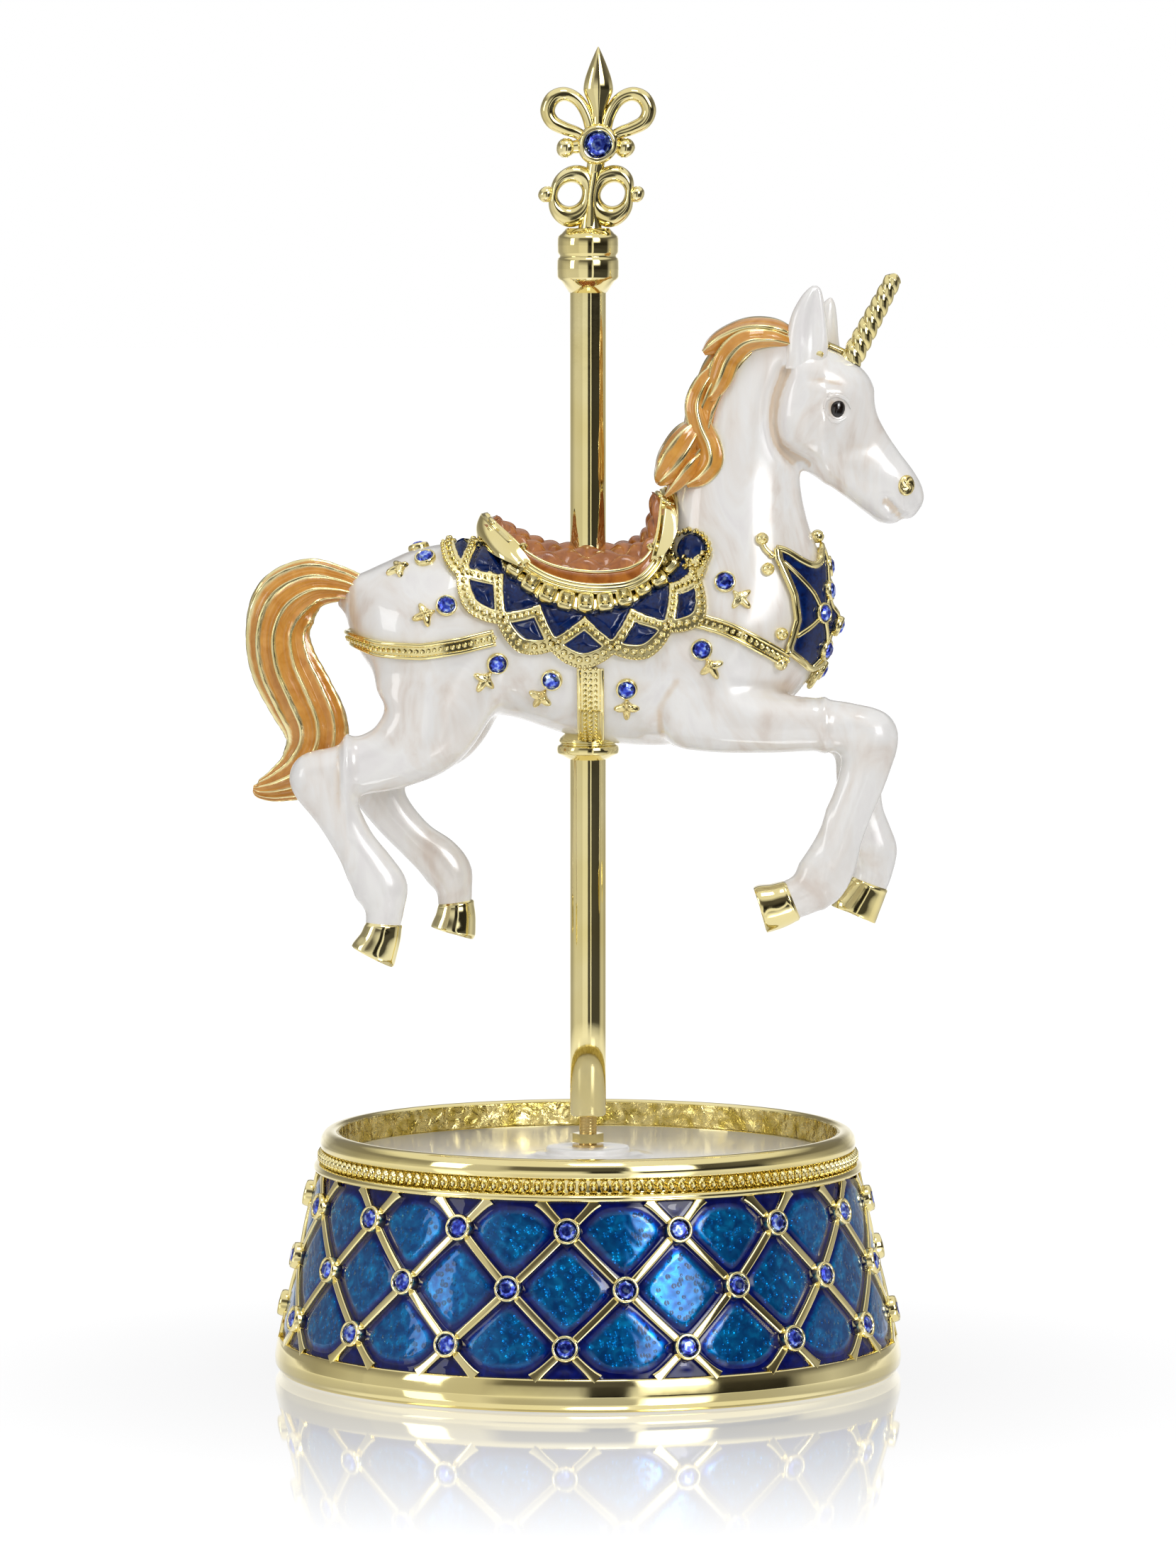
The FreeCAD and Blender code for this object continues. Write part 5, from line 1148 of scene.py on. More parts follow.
def build_hooves():
    """Hooves: an oval that widens to the sole, with a raised rim at the hair and a hollow at the heel."""
    angle = np.linspace(0, TURN, 48, endpoint=False)
    heel = 1 - 0.10 * np.exp(-(np.abs(angle - math.pi) / 0.35) ** 2)
    outline = np.stack([np.cos(angle) * heel, np.sin(angle)], -1)
    rim = 1 + 0.05 * np.exp(-((np.linspace(0, 1, 26) - 0.1) / 0.07) ** 2)
    shapes = []
    for stations in HOOVES:
        rows = smooth_path(stations, 26)
        rings = swept(rows[:, :3], outline, rows[:, 3] * rim, rows[:, 4] * rim, (0.0, 1.0, 0.0))
        shapes.append(tube(rings))
    gold_piece("hooves_gold", joined(shapes), ("hooves",), sharp=35)


build_mane()
build_tail()
build_horn()
build_ears()
build_face()
build_hooves()


# Saddle, straps and ornaments

def edge_beads(points, normals, size, gap):
    """Row of small balls along a path, one every gap."""
    run = np.concatenate([[0], np.cumsum(np.linalg.norm(np.diff(points, axis=0), axis=1))])
    count = max(int(run[-1] / gap), 2)
    place = np.linspace(0, run[-1], count)
    at = np.stack([np.interp(place, run, points[:, k]) for k in range(3)], -1)
    out = np.stack([np.interp(place, run, normals[:, k]) for k in range(3)], -1)
    return repeated(ball(6, 3), at, out, sizes=size)


def strap(points, normals, half):
    """Gold strap on the skin: a flat strip, a round wire along each edge and beads down the middle."""
    outline = rounded([(-1, -1.2), (1, -1.2), (1, 0.6), (-1, 0.6)], 0.2, 2)
    across = np.cross(unit(np.gradient(points, axis=0)), normals)
    shapes = [tube(swept(points, outline, half, 0.5, normals))]
    for side in (-1, 1):
        shapes.append(wire(points + side * half * across + 0.2 * normals, 0.38, normals, 8))
    shapes.append(edge_beads(points + 0.35 * normals, normals, 0.46, 1.0))
    return joined(shapes)


CLOTH_X, CLOTH_Z = 0.5, 146.0
CLOTH_INNER, CLOTH_OUTER = 15.0, 27.7
SCALE_STEP = math.radians(22.8)
SCALE_START = math.radians(-93.0)
CUSHION_STEP = math.radians(10.6)
CUSHION_REACH, CUSHION_LIFT, CUSHION_SIZE = 17.9, 1.35, (1.45, 1.75, 1.05)


def back_height(x):
    """Height just under the top line of the animal's back."""
    return np.interp(x, TRUNK[:, 0], TRUNK[:, 1]) - 0.3


def cloth_edges(angle):
    """Zigzag line between the two rows of scales, and the outer edge: distances from the seat's middle.

    With c twice the share of a step from the middle of a scale, the line lies at 20.6 + 4.0 c to the power
    1.05 and the edge at 27.7 - 2.0 c to the power 1.6; both shrink towards the pommel and the cantle.
    """
    step = (angle - SCALE_START) / SCALE_STEP
    share = 2 * np.abs(step - np.round(step))
    pommel = 0.20 * ease(angle, math.radians(-50), math.radians(-24))
    cantle = 0.06 * ease(angle, math.radians(-150), math.radians(-165))
    shrink = 1 - pommel - cantle
    return (20.6 + 4.0 * share ** 1.05) * shrink, (CLOTH_OUTER - 2.0 * share ** 1.6) * shrink


def cloth_point(angle, reach, side, lift):
    """Place on the animal's back at an angle and a distance from the middle of the seat."""
    x, z = CLOTH_X + reach * np.cos(angle), CLOTH_Z + reach * np.sin(angle)
    return on_side(x, np.minimum(z, back_height(x)), side, lift)


def build_cloth():
    """Saddle cloth: a sheet 0.5 off the skin, 0.55 higher on the gold lines and up to 0.6 higher in the
    middles of the blue scales, by smooth steps; rows of beads and cushions lie on it."""
    turns, shares = np.radians(np.linspace(-166, -24, 400)), np.linspace(0, 1, 80)
    angle, share = np.meshgrid(turns, shares, indexing="ij")
    line, outer = cloth_edges(angle)
    reach = CLOTH_INNER + share * (outer - CLOTH_INNER)
    inner = 18.9 * outer / CLOTH_OUTER
    to_line = np.abs(reach - line) * 0.78
    to_edge = np.minimum(np.maximum(outer - 2.3 - reach, 0), np.maximum(reach - inner, 0))
    gold = np.maximum(ease(to_line, 1.05, 0.75), ease(to_edge, 0.30, 0.0))
    lift = 0.50 + 0.55 * gold + 0.60 * ease(np.minimum(to_line - 0.9, to_edge), 0.0, 1.5)
    values = {"crest": np.concatenate([gold.ravel(), np.ones(gold.size)])}
    turn = np.radians(np.linspace(-165, -25, 700))
    zigzag, edge = cloth_edges(turn)
    bead_rows = ((zigzag, 0.55, 1.12), (edge - 1.35, 0.66, 1.36), (edge - 0.25, 0.34, 0.8))
    steps = SCALE_START + CUSHION_STEP * np.arange(-4, 6)
    along = np.stack([-np.sin(steps), 0 * steps, np.cos(steps)], -1)
    cushion = stretched(pillow(20, 9), CUSHION_SIZE)
    for side, word in SIDES:
        top, _ = cloth_point(angle, reach, side, lift)
        under, _ = cloth_point(angle, reach, side, -0.6)
        replaced = ("saddle_cloth",) if side < 0 else ()
        sheet = thick(top, under)
        piece(f"saddle_cloth_{word}", sheet, cell_blue, "carousel", replaced, values)
        beads = [edge_beads(*cloth_point(turn, row, side, 1.05), size, gap) for row, size, gap in bead_rows]
        gold_piece(f"cloth_beads_{word}", joined(beads))
        cushions = repeated(cushion, *cloth_point(steps, CUSHION_REACH, side, CUSHION_LIFT), along)
        piece(f"cloth_cushions_{word}", cushions, gold_soft, "carousel")


# Seat stations: x and z of the middle line, x and z of the near edge, half width.
SEAT = (
    (-16.6, 142.4, -15.6, 141.6, 3.6), (-13.0, 140.4, -12.7, 138.4, 6.4), (-9.6, 138.6, -10.4, 135.6, 8.2),
    (-6.0, 137.5, -6.6, 133.3, 9.2), (-1.5, 137.0, -2.0, 132.0, 9.8), (3.0, 137.0, 2.8, 131.7, 10.0),
    (7.0, 137.8, 7.4, 132.4, 9.8), (9.6, 139.2, 10.4, 134.8, 8.8), (10.9, 142.0, 12.2, 138.6, 7.0),
    (11.7, 146.6, 13.2, 145.4, 3.6),
)
SEAT_COUNT = 241
SEAT_MIDDLE = 150.0


def on_seat_side(x, y, z, lift):
    """Half widths let out where the animal's side is wider there."""
    top = back_height(x)
    skin = on_side(x, np.minimum(z, top), 1, lift)[0][:, 1]
    return np.where(z < top, np.maximum(y, skin), y)


SEAT_ROWS = smooth_path(SEAT, SEAT_COUNT)
SEAT_ROWS[:, 4] = on_seat_side(SEAT_ROWS[:, 2], SEAT_ROWS[:, 4], SEAT_ROWS[:, 3], 0.6)


def seat_point(run, across, out):
    """Saddle surface: along the middle line and, by a quarter sine each way, down to the edges.

    A positive out moves the place away from the middle point above the seat, a negative one towards it.
    """
    at = np.clip(run, 0, 1) * (SEAT_COUNT - 1)
    values = [np.interp(at, np.arange(SEAT_COUNT), SEAT_ROWS[:, k]) for k in range(5)]
    fall = 1 - np.cos(math.pi / 2 * np.clip(np.abs(across), 0, 1))
    x = values[0] + (values[2] - values[0]) * fall - CLOTH_X
    z = values[1] + (values[3] - values[1]) * fall - SEAT_MIDDLE
    y = values[4] * np.sin(math.pi / 2 * across)
    grow = 1 + out / np.maximum(np.hypot(x, z), 1.0)
    places = (CLOTH_X + x * grow, y * (1 + 0.3 * out / 10.0), SEAT_MIDDLE + z * grow)
    return np.stack(np.broadcast_arrays(*places), -1)


def cast_shell(rim, base, bulge, inward):
    """Cast gold shell between a rim and a base curve: a straight blend of both plus a half sine of bulge.

    Both curves are given from the middle outwards on the far side and mirrored to the near side.
    """
    curves = []
    for points in (rim, base):
        rows = np.asarray(points, float)
        curves.append(smooth_path(np.vstack([rows[:0:-1] * [1, -1, 1], rows]), 60)[:, None])
    share = np.linspace(0, 1, 16)[None, :, None]
    sheet = curves[0] + share * (curves[1] - curves[0]) + np.sin(math.pi * share) * np.asarray(bulge)
    return thick(sheet, sheet + np.asarray(inward))


# Rim and base curve: x, y, z.
CANTLE = (
    ((-17.8, 0, 143.3), (-16.2, 3.6, 141.7), (-12.9, 7.2, 138.6), (-10.4, 9.6, 135.5)),
    ((-18.1, 0, 138.0), (-17.4, 4.2, 137.8), (-14.8, 8.0, 136.4), (-11.0, 10.0, 134.8)),
)
POMMEL = (
    ((12.7, 0, 147.8), (12.8, 3.8, 145.6), (12.2, 7.2, 140.7), (11.2, 9.4, 136.6)),
    ((14.6, 0, 146.6), (15.0, 4.4, 144.2), (14.5, 8.2, 140.0), (12.0, 10.0, 136.0)),
)


def build_pad():
    """Padded seat: quilted diamonds, a power of two sines' product, and a smooth band along the edges."""
    run, across = np.meshgrid(np.linspace(0, 1, 220), np.linspace(-1, 1, 141), indexing="ij")
    long_way, wide_way = run * 34.0, across * 13.0
    leans = [np.sin(math.pi * (long_way + turn * wide_way) / 5.4) for turn in (1, -1)]
    quilt = np.abs(leans[0] * leans[1]) ** 0.6
    mask = ease(np.abs(across), 0.75, 0.66)
    band = ease(np.abs(across), 0.76, 0.84) * ease(np.abs(across), 1.0, 0.93)
    top = seat_point(run, across, -(0.15 + 1.35 * quilt * mask + 0.45 * band))
    pad = thick(top, seat_point(run, across, 1.2))
    piece("seat_pad", pad, copper, "carousel", ("saddle_seat",))


def build_seat():
    """Pad, gold lines with balls at their ends, and the gold saddle tree: cantle, pommel and rolled rims."""
    build_pad()
    run = np.linspace(0, 1, 160)
    lines, rolls = [], []
    for side in (-1, 1):
        up = (0.0, side, 0.3)
        for share, out, size in ((1.0, -0.1, 0.45), (0.75, -0.35, 0.30)):
            lines.append(wire(seat_point(run, side * share, out), size, up))
        for out, size in ((0.40, 0.42), (1.00, 0.34)):
            path = seat_point(run, side, out)
            wide = on_seat_side(path[:, 0], np.abs(path[:, 1]), path[:, 2], 0.65)
            path[:, 1] = side * np.convolve(np.pad(wide, 6, "edge"), np.ones(13) / 13, "valid")
            rolls.append(wire(path, size, up))
        for run_at in (0.18, 0.82):
            place = seat_point(run_at, 0.76 * side, -0.7)
            lines.append(repeated(ball(14, 9), place, [[0, side, 0.4]], sizes=0.75))
    for end in (0.0, 1.0):
        lines.append(wire(seat_point(end, np.linspace(-1, 1, 60), -0.2), 0.5, (1.0, 0.0, 0.4)))
    gold_piece("seat_lines", joined(lines))
    cantle = cast_shell(*CANTLE, (-0.7, 0, 0.2), (1.0, 0, 0.2))
    pommel = cast_shell(*POMMEL, (0.5, 0, 0.3), (-0.8, 0, -0.5))
    gold_piece("saddle_tree_gold", joined([cantle, pommel] + rolls), ("saddle_tree",))


# Hip line: distance behind the pole, z. Chest strap: x, z.
HIP_LINE = ((15.0, 123.4), (21.0, 122.1), (27.2, 121.3), (33.0, 121.6), (40.0, 122.7))
CHEST_STRAP = ((17.6, 126.2), (21.5, 125.2), (25.5, 123.6), (29.5, 121.4), (32.6, 119.6))


def build_straps():
    """Hip strap, half an oval round the rump, girth, half an oval under the belly, and two chest straps;
    each is moved onto the skin."""
    turn = np.radians(np.linspace(-89, 89, 150))
    x = -15.0 - 25.0 * np.cos(turn)
    lift = 0.45 + 0 * turn
    guess = np.stack([x, 12.6 * np.sin(turn), np.interp(-x, *np.array(HIP_LINE).T)], -1)
    gold_piece("hip_strap_gold", strap(*onto_skin(field, guess, lift), 1.05), ("hip_strap",))
    guess = np.stack([0.4 + 0 * turn, 12.8 * np.sin(turn), 118.5 - 14.0 * np.cos(turn)], -1)
    points, normals = onto_skin(field, guess, lift)
    shapes = [strap(points, normals, 1.9)]
    for inset in (-0.9, 0.9):
        shapes.append(edge_beads(points + [inset, 0, 0] + 0.3 * normals, normals, 0.42, 0.95))
    gold_piece("girth_gold", joined(shapes), ("girth",))
    line = smooth_path(CHEST_STRAP, 60)
    straps = [strap(*on_side(line[:, 0], line[:, 1], side, 0.4), 0.95) for side in (-1, 1)]
    gold_piece("chest_straps_gold", joined(straps), ("chest_strap",))


# Stones: x, z. Leaves: x, z and the way their point lies. Cup: radius, height.
SIDE_STONES = (
    (-27.0, 136.1), (-23.4, 128.5), (-15.0, 119.0), (-5.9, 116.3), (6.4, 114.8), (18.8, 121.4),
    (22.7, 132.4),
)
LEAVES = (
    (-31.2, 134.4, -4.2, -1.7), (-26.8, 127.2, -3.4, -1.3), (-17.0, 116.3, -2.0, -2.7),
    (-7.8, 113.3, -1.9, -3.0), (6.4, 111.8, 0.0, -3.0), (20.3, 118.6, 1.5, -2.8),
    (25.1, 129.9, 2.4, -2.5),
)
CUP = (
    (1e-3, -0.9), (1.78, -0.9), (1.82, 0.25), (1.72, 0.62), (1.55, 0.68), (1.42, 0.55), (1.38, 0.2),
    (1e-3, 0.15),
)
CROUP_STONE = (-28.5, 2.5, 138.6)
ROSETTE_X, ROSETTE_Z, ROSETTE_RING = 17.2, 137.6, 3.05


def leaf():
    """Three-pointed leaf: the radius has bell-shaped lobes ahead, to each side and behind, and the height
    falls from a middle ridge to the rim."""
    angle = np.linspace(-math.pi, math.pi, 60, endpoint=False)
    side_lobes = 0.95 * np.exp(-((np.abs(angle) - 1.40) / 0.40) ** 2)
    stalk = 0.5 * np.exp(-((np.abs(angle) - math.pi) / 0.3) ** 2)
    lobes = 0.80 + 1.15 * np.exp(-(angle / 0.42) ** 2) + side_lobes + stalk
    share = np.array([1.0, 1.0, 0.86, 0.6, 0.3, 0.06])[:, None]
    level = np.array([-0.5, 0.12, 0.42, 0.55, 0.62, 0.64])[:, None]
    return tube(at_bearing(share * lobes, angle, level + 0.10 * share * np.cos(6 * angle)))


def set_stones(points, normals):
    """Small cups at places on the skin and the cut stones in them."""
    cups = repeated(lathe(CUP, 24), points, normals)
    return cups, repeated(cut_stone(), points + 0.42 * normals, normals, sizes=1.4)


def build_ornaments():
    """Stones in small cups and gold leaves on both flanks, a stone on the croup, a rosette by the pommel."""
    settings, leaves, rosettes, beads = [], [], [], []
    turn = np.linspace(0, TURN, 20, endpoint=False)
    ring_x, ring_z = ROSETTE_X + ROSETTE_RING * np.cos(turn), ROSETTE_Z + ROSETTE_RING * np.sin(turn)
    x, z, along_x, along_z = np.array(LEAVES).T
    along = np.stack([along_x, 0 * along_x, along_z], -1)
    for side in (-1, 1):
        settings.append(set_stones(*on_side(*np.array(SIDE_STONES).T, side, 0.15)))
        leaves.append(repeated(leaf(), *on_side(x, z, side, 0.1), along, 1.25))
        rosettes.append(repeated(dome(2.55, 2.55, 1.0), *on_side(ROSETTE_X, ROSETTE_Z, side, 0.4)))
        beads.append(repeated(ball(8, 5), *on_side(ring_x, ring_z, side, 0.7), sizes=0.62))
    settings.append(set_stones(*onto_skin(field, np.array([CROUP_STONE]), np.array([0.15]))))
    cups, stones = zip(*settings)
    rosette = joined(rosettes)
    plain = {"crest": np.zeros(len(rosette[0]))}
    gold_piece("flank_cups", joined(cups), ("body_settings",))
    stone_piece("flank_stones", joined(stones), "carousel", ("body_stones",))
    piece("flank_leaves", joined(leaves), gold_cast, "carousel")
    piece("rosette_blue", rosette, cell_blue, "carousel", (), plain)
    gold_piece("rosette_beads", joined(beads))


# Half reach of the breast plate in degrees round the chest, by height.
BREAST_REACH = (
    (113.0, 25.0), (115.0, 45.0), (118.0, 70.0), (122.0, 74.0), (126.0, 66.0), (130.0, 68.0),
    (136.0, 80.0),
)
# Lines and cups: across, z. Balls and horn: x, z.
BREAST_LINES = (
    ((0.0, 137.5), (-0.28, 130.5), (-0.52, 127.0), (-0.95, 123.6)),
    ((0.0, 134.4), (-0.28, 130.5), (0.0, 125.4), (-0.30, 121.0), (0.0, 116.9)),
    ((-0.52, 127.0), (-0.30, 121.0), (-0.62, 117.2)),
    ((-0.95, 135.5), (-0.52, 127.0)),
)
BREAST_CUPS = (
    (0.0, 134.4), (-0.28, 130.5), (0.28, 130.5), (-0.52, 127.0), (0.52, 127.0), (0.0, 125.4),
    (-0.30, 121.0), (0.30, 121.0), (0.0, 116.9),
)
BREAST_BALLS = ((28.6, 139.3), (29.6, 134.4), (31.8, 123.9), (31.7, 119.0))
BREAST_HORN = ((28.7, 139.0), (29.3, 137.6), (30.6, 136.4))


def chest_point(across, z, lift):
    """Place on the breast: across runs from -1 at the near edge to 1 at the far edge of an oval round the
    chest, whose points are moved onto the skin."""
    turn = np.radians(np.interp(z, *np.array(BREAST_REACH).T)) * across
    guess = np.stack(np.broadcast_arrays(29.5 + 10.0 * np.cos(turn), 9.0 * np.sin(turn), z), -1)
    return onto_skin(field, guess, np.asarray(lift) + 0 * guess[..., 0])


def breast_top(across):
    """Upper edge of the breast plate: a squared cosine with peaks in the middle and at both ends."""
    return 134.9 + 3.0 * np.cos(math.pi * across) ** 2


def breast_low(across):
    """Lower edge of the breast plate: a rounded point."""
    return 113.8 + 7.5 * np.abs(across) ** 1.3


def build_breast():
    """Breast plate: a blue sheet over the chest with gold rim and lines, stones, and balls on its peaks."""
    across, share = np.meshgrid(np.linspace(-1, 1, 120), np.linspace(0, 1, 70), indexing="ij")
    z = breast_low(across) + share * (breast_top(across) - breast_low(across))
    ends = np.maximum(ease(share, 0.06, 0.03), ease(share, 0.95, 0.98))
    rim = np.maximum(ease(np.abs(across), 0.92, 0.96), ends)
    sheet = thick(chest_point(across, z, 0.75 + 0.35 * rim)[0], chest_point(across, z, -0.5)[0])
    values = {"crest": np.concatenate([rim.ravel(), np.ones(rim.size)])}
    piece("breast_enamel", sheet, cell_blue, "carousel", ("breast_collar",), values)

    wires, balls = [], []

    def lay_wire(place, width, height, around):
        """Adds a flattened wire along places on the skin."""
        points, normals = place
        wires.append(tube(swept(points, circle(around), width, height, normals)))

    horn = smooth_path(BREAST_HORN, 24)
    for side in (-1, 1):
        for line in BREAST_LINES:
            route = smooth_path(line, 60)
            lay_wire(chest_point(side * route[:, 0], route[:, 1], 0.95), 0.42, 0.34, 8)
        for x, z_at in BREAST_BALLS:
            balls.append(repeated(ball(14, 9), *on_side(x, z_at, side, 0.6), sizes=1.12))
        lay_wire(on_side(horn[:, 0], horn[:, 1], side, 0.45), 0.5, 0.5, 8)
    edge = np.linspace(-1, 1, 160)
    for height_at in (breast_top, breast_low):
        lay_wire(chest_point(edge, height_at(edge), 0.85), 0.62, 0.5, 10)
    for side in (-1, 1):
        lay_wire(chest_point(side, np.linspace(121.3, 137.8, 60), 0.85), 0.62, 0.5, 10)
    middle_ball = chest_point(np.array([0.0]), np.array([140.2]), 0.7)
    balls.append(repeated(ball(14, 9), *middle_ball, sizes=1.15))
    cups, stones = set_stones(*chest_point(*np.array(BREAST_CUPS).T, 0.9))
    gold_piece("breast_lines", joined(wires))
    gold_piece("breast_cups", joined([cups] + balls))
    stone_piece("breast_stones", stones, "carousel")


# Collar: radius, height.
FINIAL_COLLAR = (
    (1e-3, 180.0), (3.15, 180.0), (4.4, 181.9), (4.95, 182.3), (5.1, 182.7), (5.12, 184.0),
    (5.1, 185.3), (4.98, 185.7), (4.72, 185.95), (4.72, 186.2), (4.95, 186.45), (5.05, 186.8),
    (5.06, 188.0), (5.04, 189.0), (4.9, 189.4), (4.4, 189.8), (3.6, 190.7), (1e-3, 190.7),
)
# Spear: height, half width, half depth. Curl: x, z, half thickness. Ring: degrees, outer reach.
SPEAR = (
    (205.0, 1.5, 1.4), (208.0, 1.15, 1.1), (210.0, 1.2, 1.1), (211.6, 1.75, 1.3), (213.0, 2.35, 1.6),
    (214.0, 2.45, 1.7), (215.6, 2.15, 1.55), (217.6, 1.45, 1.15), (219.4, 0.7, 0.65), (220.7, 0.08, 0.08),
)
CURL = (
    (0.9, 205.4, 1.0), (1.8, 209.2, 1.0), (3.3, 211.8, 1.05), (5.5, 212.9, 1.15), (7.5, 212.2, 1.25),
    (8.4, 210.2, 1.25), (7.6, 208.3, 1.2), (5.6, 207.2, 1.1), (3.6, 206.5, 1.0), (2.0, 205.4, 1.0),
)
RING = (
    (0, 3.15), (45, 4.1), (90, 4.9), (135, 5.0), (180, 3.6), (225, 5.2), (270, 5.6), (315, 4.4),
    (360, 3.15),
)
RING_X, RING_Z, RING_HOLE, RING_DEPTH = 3.55, 196.3, 1.95, 1.55
GEM_CUP = (
    (1e-3, -1.7), (3.3, -1.7), (3.42, -0.6), (3.38, 0.1), (3.2, 0.6), (2.9, 0.95), (2.55, 1.05),
    (2.25, 0.85), (2.08, 0.5), (2.0, 0.2), (1e-3, 0.15),
)
GEMS = np.array([[0, -1.3, 204.6], [0, 1.3, 204.6]])
GEM_FACES = np.array([[0, -1.0, 0], [0, 1.0, 0]])


def bar(points, sizes):
    """Round bar bent through points, its half thickness changing evenly through the sizes."""
    share = np.linspace(0, 1, 70)
    width = np.interp(share, np.linspace(0, 1, len(sizes)), sizes)
    return wire(smooth_path(points, 70), width, (0.0, 1.0, 0.0), 16)


def scroll_ring(side):
    """Ring with an uneven outer edge: the reach swings by a cosine between the hole and that edge."""
    turns, rounds = np.linspace(0, TURN, 72, endpoint=False), np.linspace(0, TURN, 20, endpoint=False)
    turn, round_it = np.meshgrid(turns, rounds, indexing="ij")
    degrees, reaches = np.array(RING).T
    far_edge = np.interp(turn, np.radians(degrees), reaches)
    far_edge = (far_edge + np.roll(far_edge, 2, 0) + np.roll(far_edge, -2, 0)) / 3
    reach = (far_edge + RING_HOLE) / 2 + (far_edge - RING_HOLE) / 2 * np.cos(round_it)
    x, z = side * (RING_X + reach * np.cos(turn)), RING_Z + reach * np.sin(turn)
    return closed_grid(np.stack([x, RING_DEPTH * np.sin(round_it), z], -1))


def leaned(shape):
    """The upper scroll stands a little to one side of the pole."""
    points = shape[0].copy()
    points[:, 0] += np.interp(points[:, 2], (190.0, 196.0, 204.0), (0.3, 0.5, 1.7))
    return points, shape[1], shape[2]


def build_finial():
    """Two-ringed collar and the scrolled finial with its curls, rings and stones. The spear is an oval with
    four blunt edges: one minus a power of a sine, carried upwards."""
    gold_piece("finial_collar_gold", lathe(FINIAL_COLLAR, 96), ("finial_collar",), sharp=60)
    spear = smooth_path(SPEAR, 80)
    angle = np.linspace(0, TURN, 40, endpoint=False)
    blade = 1 - 0.07 * np.abs(np.sin(angle * 2)) ** 0.8
    x, y = spear[:, 1:2] * blade * np.cos(angle), spear[:, 2:3] * blade * np.sin(angle)
    shapes = [tube(np.stack(np.broadcast_arrays(x, y, spear[:, :1]), -1))]
    knob = ball(18, 11)
    for side in (-1, 1):
        shapes.append(bar([(side * x, 0, z) for x, z, _ in CURL], [size for _, _, size in CURL]))
        shapes.append(scroll_ring(side))
        shapes.append(repeated(knob, [[side * 7.5, 0, RING_Z]], [[0, 0, 1]], sizes=1.35))
        shapes.append(repeated(knob, [[side * 4.9 - 0.4, 0, 204.0]], [[0, 0, 1]], sizes=1.65))
        shapes.append(bar([(side * 1.6, 0, 204.4), (side * 4.2, 0, 204.1)], (1.3, 1.1)))
        stay = [(0, side * 1.3, 191.0), (0, side * 1.75, 195.0), (0, side * 1.6, 200.0)]
        shapes.append(bar(stay, (0.75, 0.55, 0.5)))
    stem = [(0, 0, z) for z in (189.8, 193.0, 197.0, 201.0, 206.0)]
    shapes.append(bar(stem, (2.2, 1.6, 1.3, 1.5, 1.8)))
    shapes.append(repeated(lathe(GEM_CUP, 48), GEMS, GEM_FACES))
    gold_piece("finial_scroll_gold", leaned(joined(shapes)), ("finial_scroll",))
    gems = repeated(cut_stone(), GEMS + 0.45 * GEM_FACES, GEM_FACES, sizes=2.02)
    stone_piece("finial_gems", leaned(gems), "carousel", ("finial_stones",))


# Radius, height.
BELLY_COLLAR = (
    (3.05, 102.2), (4.3, 102.9), (5.1, 103.3), (5.2, 103.9), (5.1, 104.5), (4.6, 104.8), (4.6, 105.0),
    (4.9, 105.3), (4.7, 105.8), (3.6, 106.8), (3.05, 107.2),
)


def build_collar():
    """Collar under the belly: two rolls and a neck, turned."""
    gold_piece("belly_collar_gold", lathe(rounded(BELLY_COLLAR, 0.15), 72), ("belly_collar",), sharp=60)


build_cloth()
build_seat()
build_straps()
build_ornaments()
build_breast()
build_finial()
build_collar()


# Stage, light and camera

# Reflected bands near the floor and above: share of a whole turn, colour.
LOW_BANDS = (
    (0.02, (0.66, 0.65, 0.62)), (0.145, (0.64, 0.63, 0.60)), (0.160, (0.80, 0.80, 0.78)),
    (0.240, (0.80, 0.80, 0.78)), (0.254, (0.02, 0.018, 0.016)), (0.288, (0.02, 0.018, 0.016)),
    (0.294, (0.95, 0.95, 0.93)), (0.306, (0.95, 0.95, 0.93)), (0.312, (0.02, 0.018, 0.016)),
    (0.465, (0.03, 0.028, 0.025)), (0.490, (0.45, 0.44, 0.42)), (0.530, (0.62, 0.61, 0.59)),
    (0.60, (0.40, 0.39, 0.37)), (0.66, (0.40, 0.39, 0.37)), (0.70, (1.0, 1.0, 1.0)),
    (0.80, (1.0, 1.0, 1.0)), (0.84, (0.40, 0.39, 0.37)), (0.92, (0.40, 0.39, 0.37)),
    (0.98, (0.60, 0.59, 0.56)),
)
HIGH_BANDS = (
    (0.05, (0.36, 0.35, 0.33)), (0.085, (0.66, 0.65, 0.63)), (0.135, (0.66, 0.65, 0.63)),
    (0.16, (0.16, 0.15, 0.14)), (0.300, (0.07, 0.065, 0.06)), (0.314, (5.5, 5.5, 5.5)),
    (0.372, (5.5, 5.5, 5.5)), (0.386, (0.08, 0.075, 0.07)), (0.55, (0.20, 0.19, 0.18)),
    (0.95, (0.30, 0.29, 0.28)),
)
FLOOR_HALF, FLOOR_DROP = 6.0, 0.0002
CAMERA_DISTANCE, CAMERA_PITCH, CAMERA_TARGET = 1.45, math.radians(4.5), 0.0981
FRAME_TALL, SENSOR = 0.2617, 36.0
LAMP_AIM = (0, 0, 0.11)


def emptied(holder):
    """Node tree of a material or world with its nodes taken out."""
    holder.use_nodes = True
    holder.node_tree.nodes.clear()
    return holder.node_tree


def mixed(tree, share, first, second):
    """Two shaders mixed by a share."""
    node = tree.nodes.new("ShaderNodeMixShader")
    for source, socket in zip((share, first, second), node.inputs):
        tree.links.new(source, socket)
    return node.outputs[0]


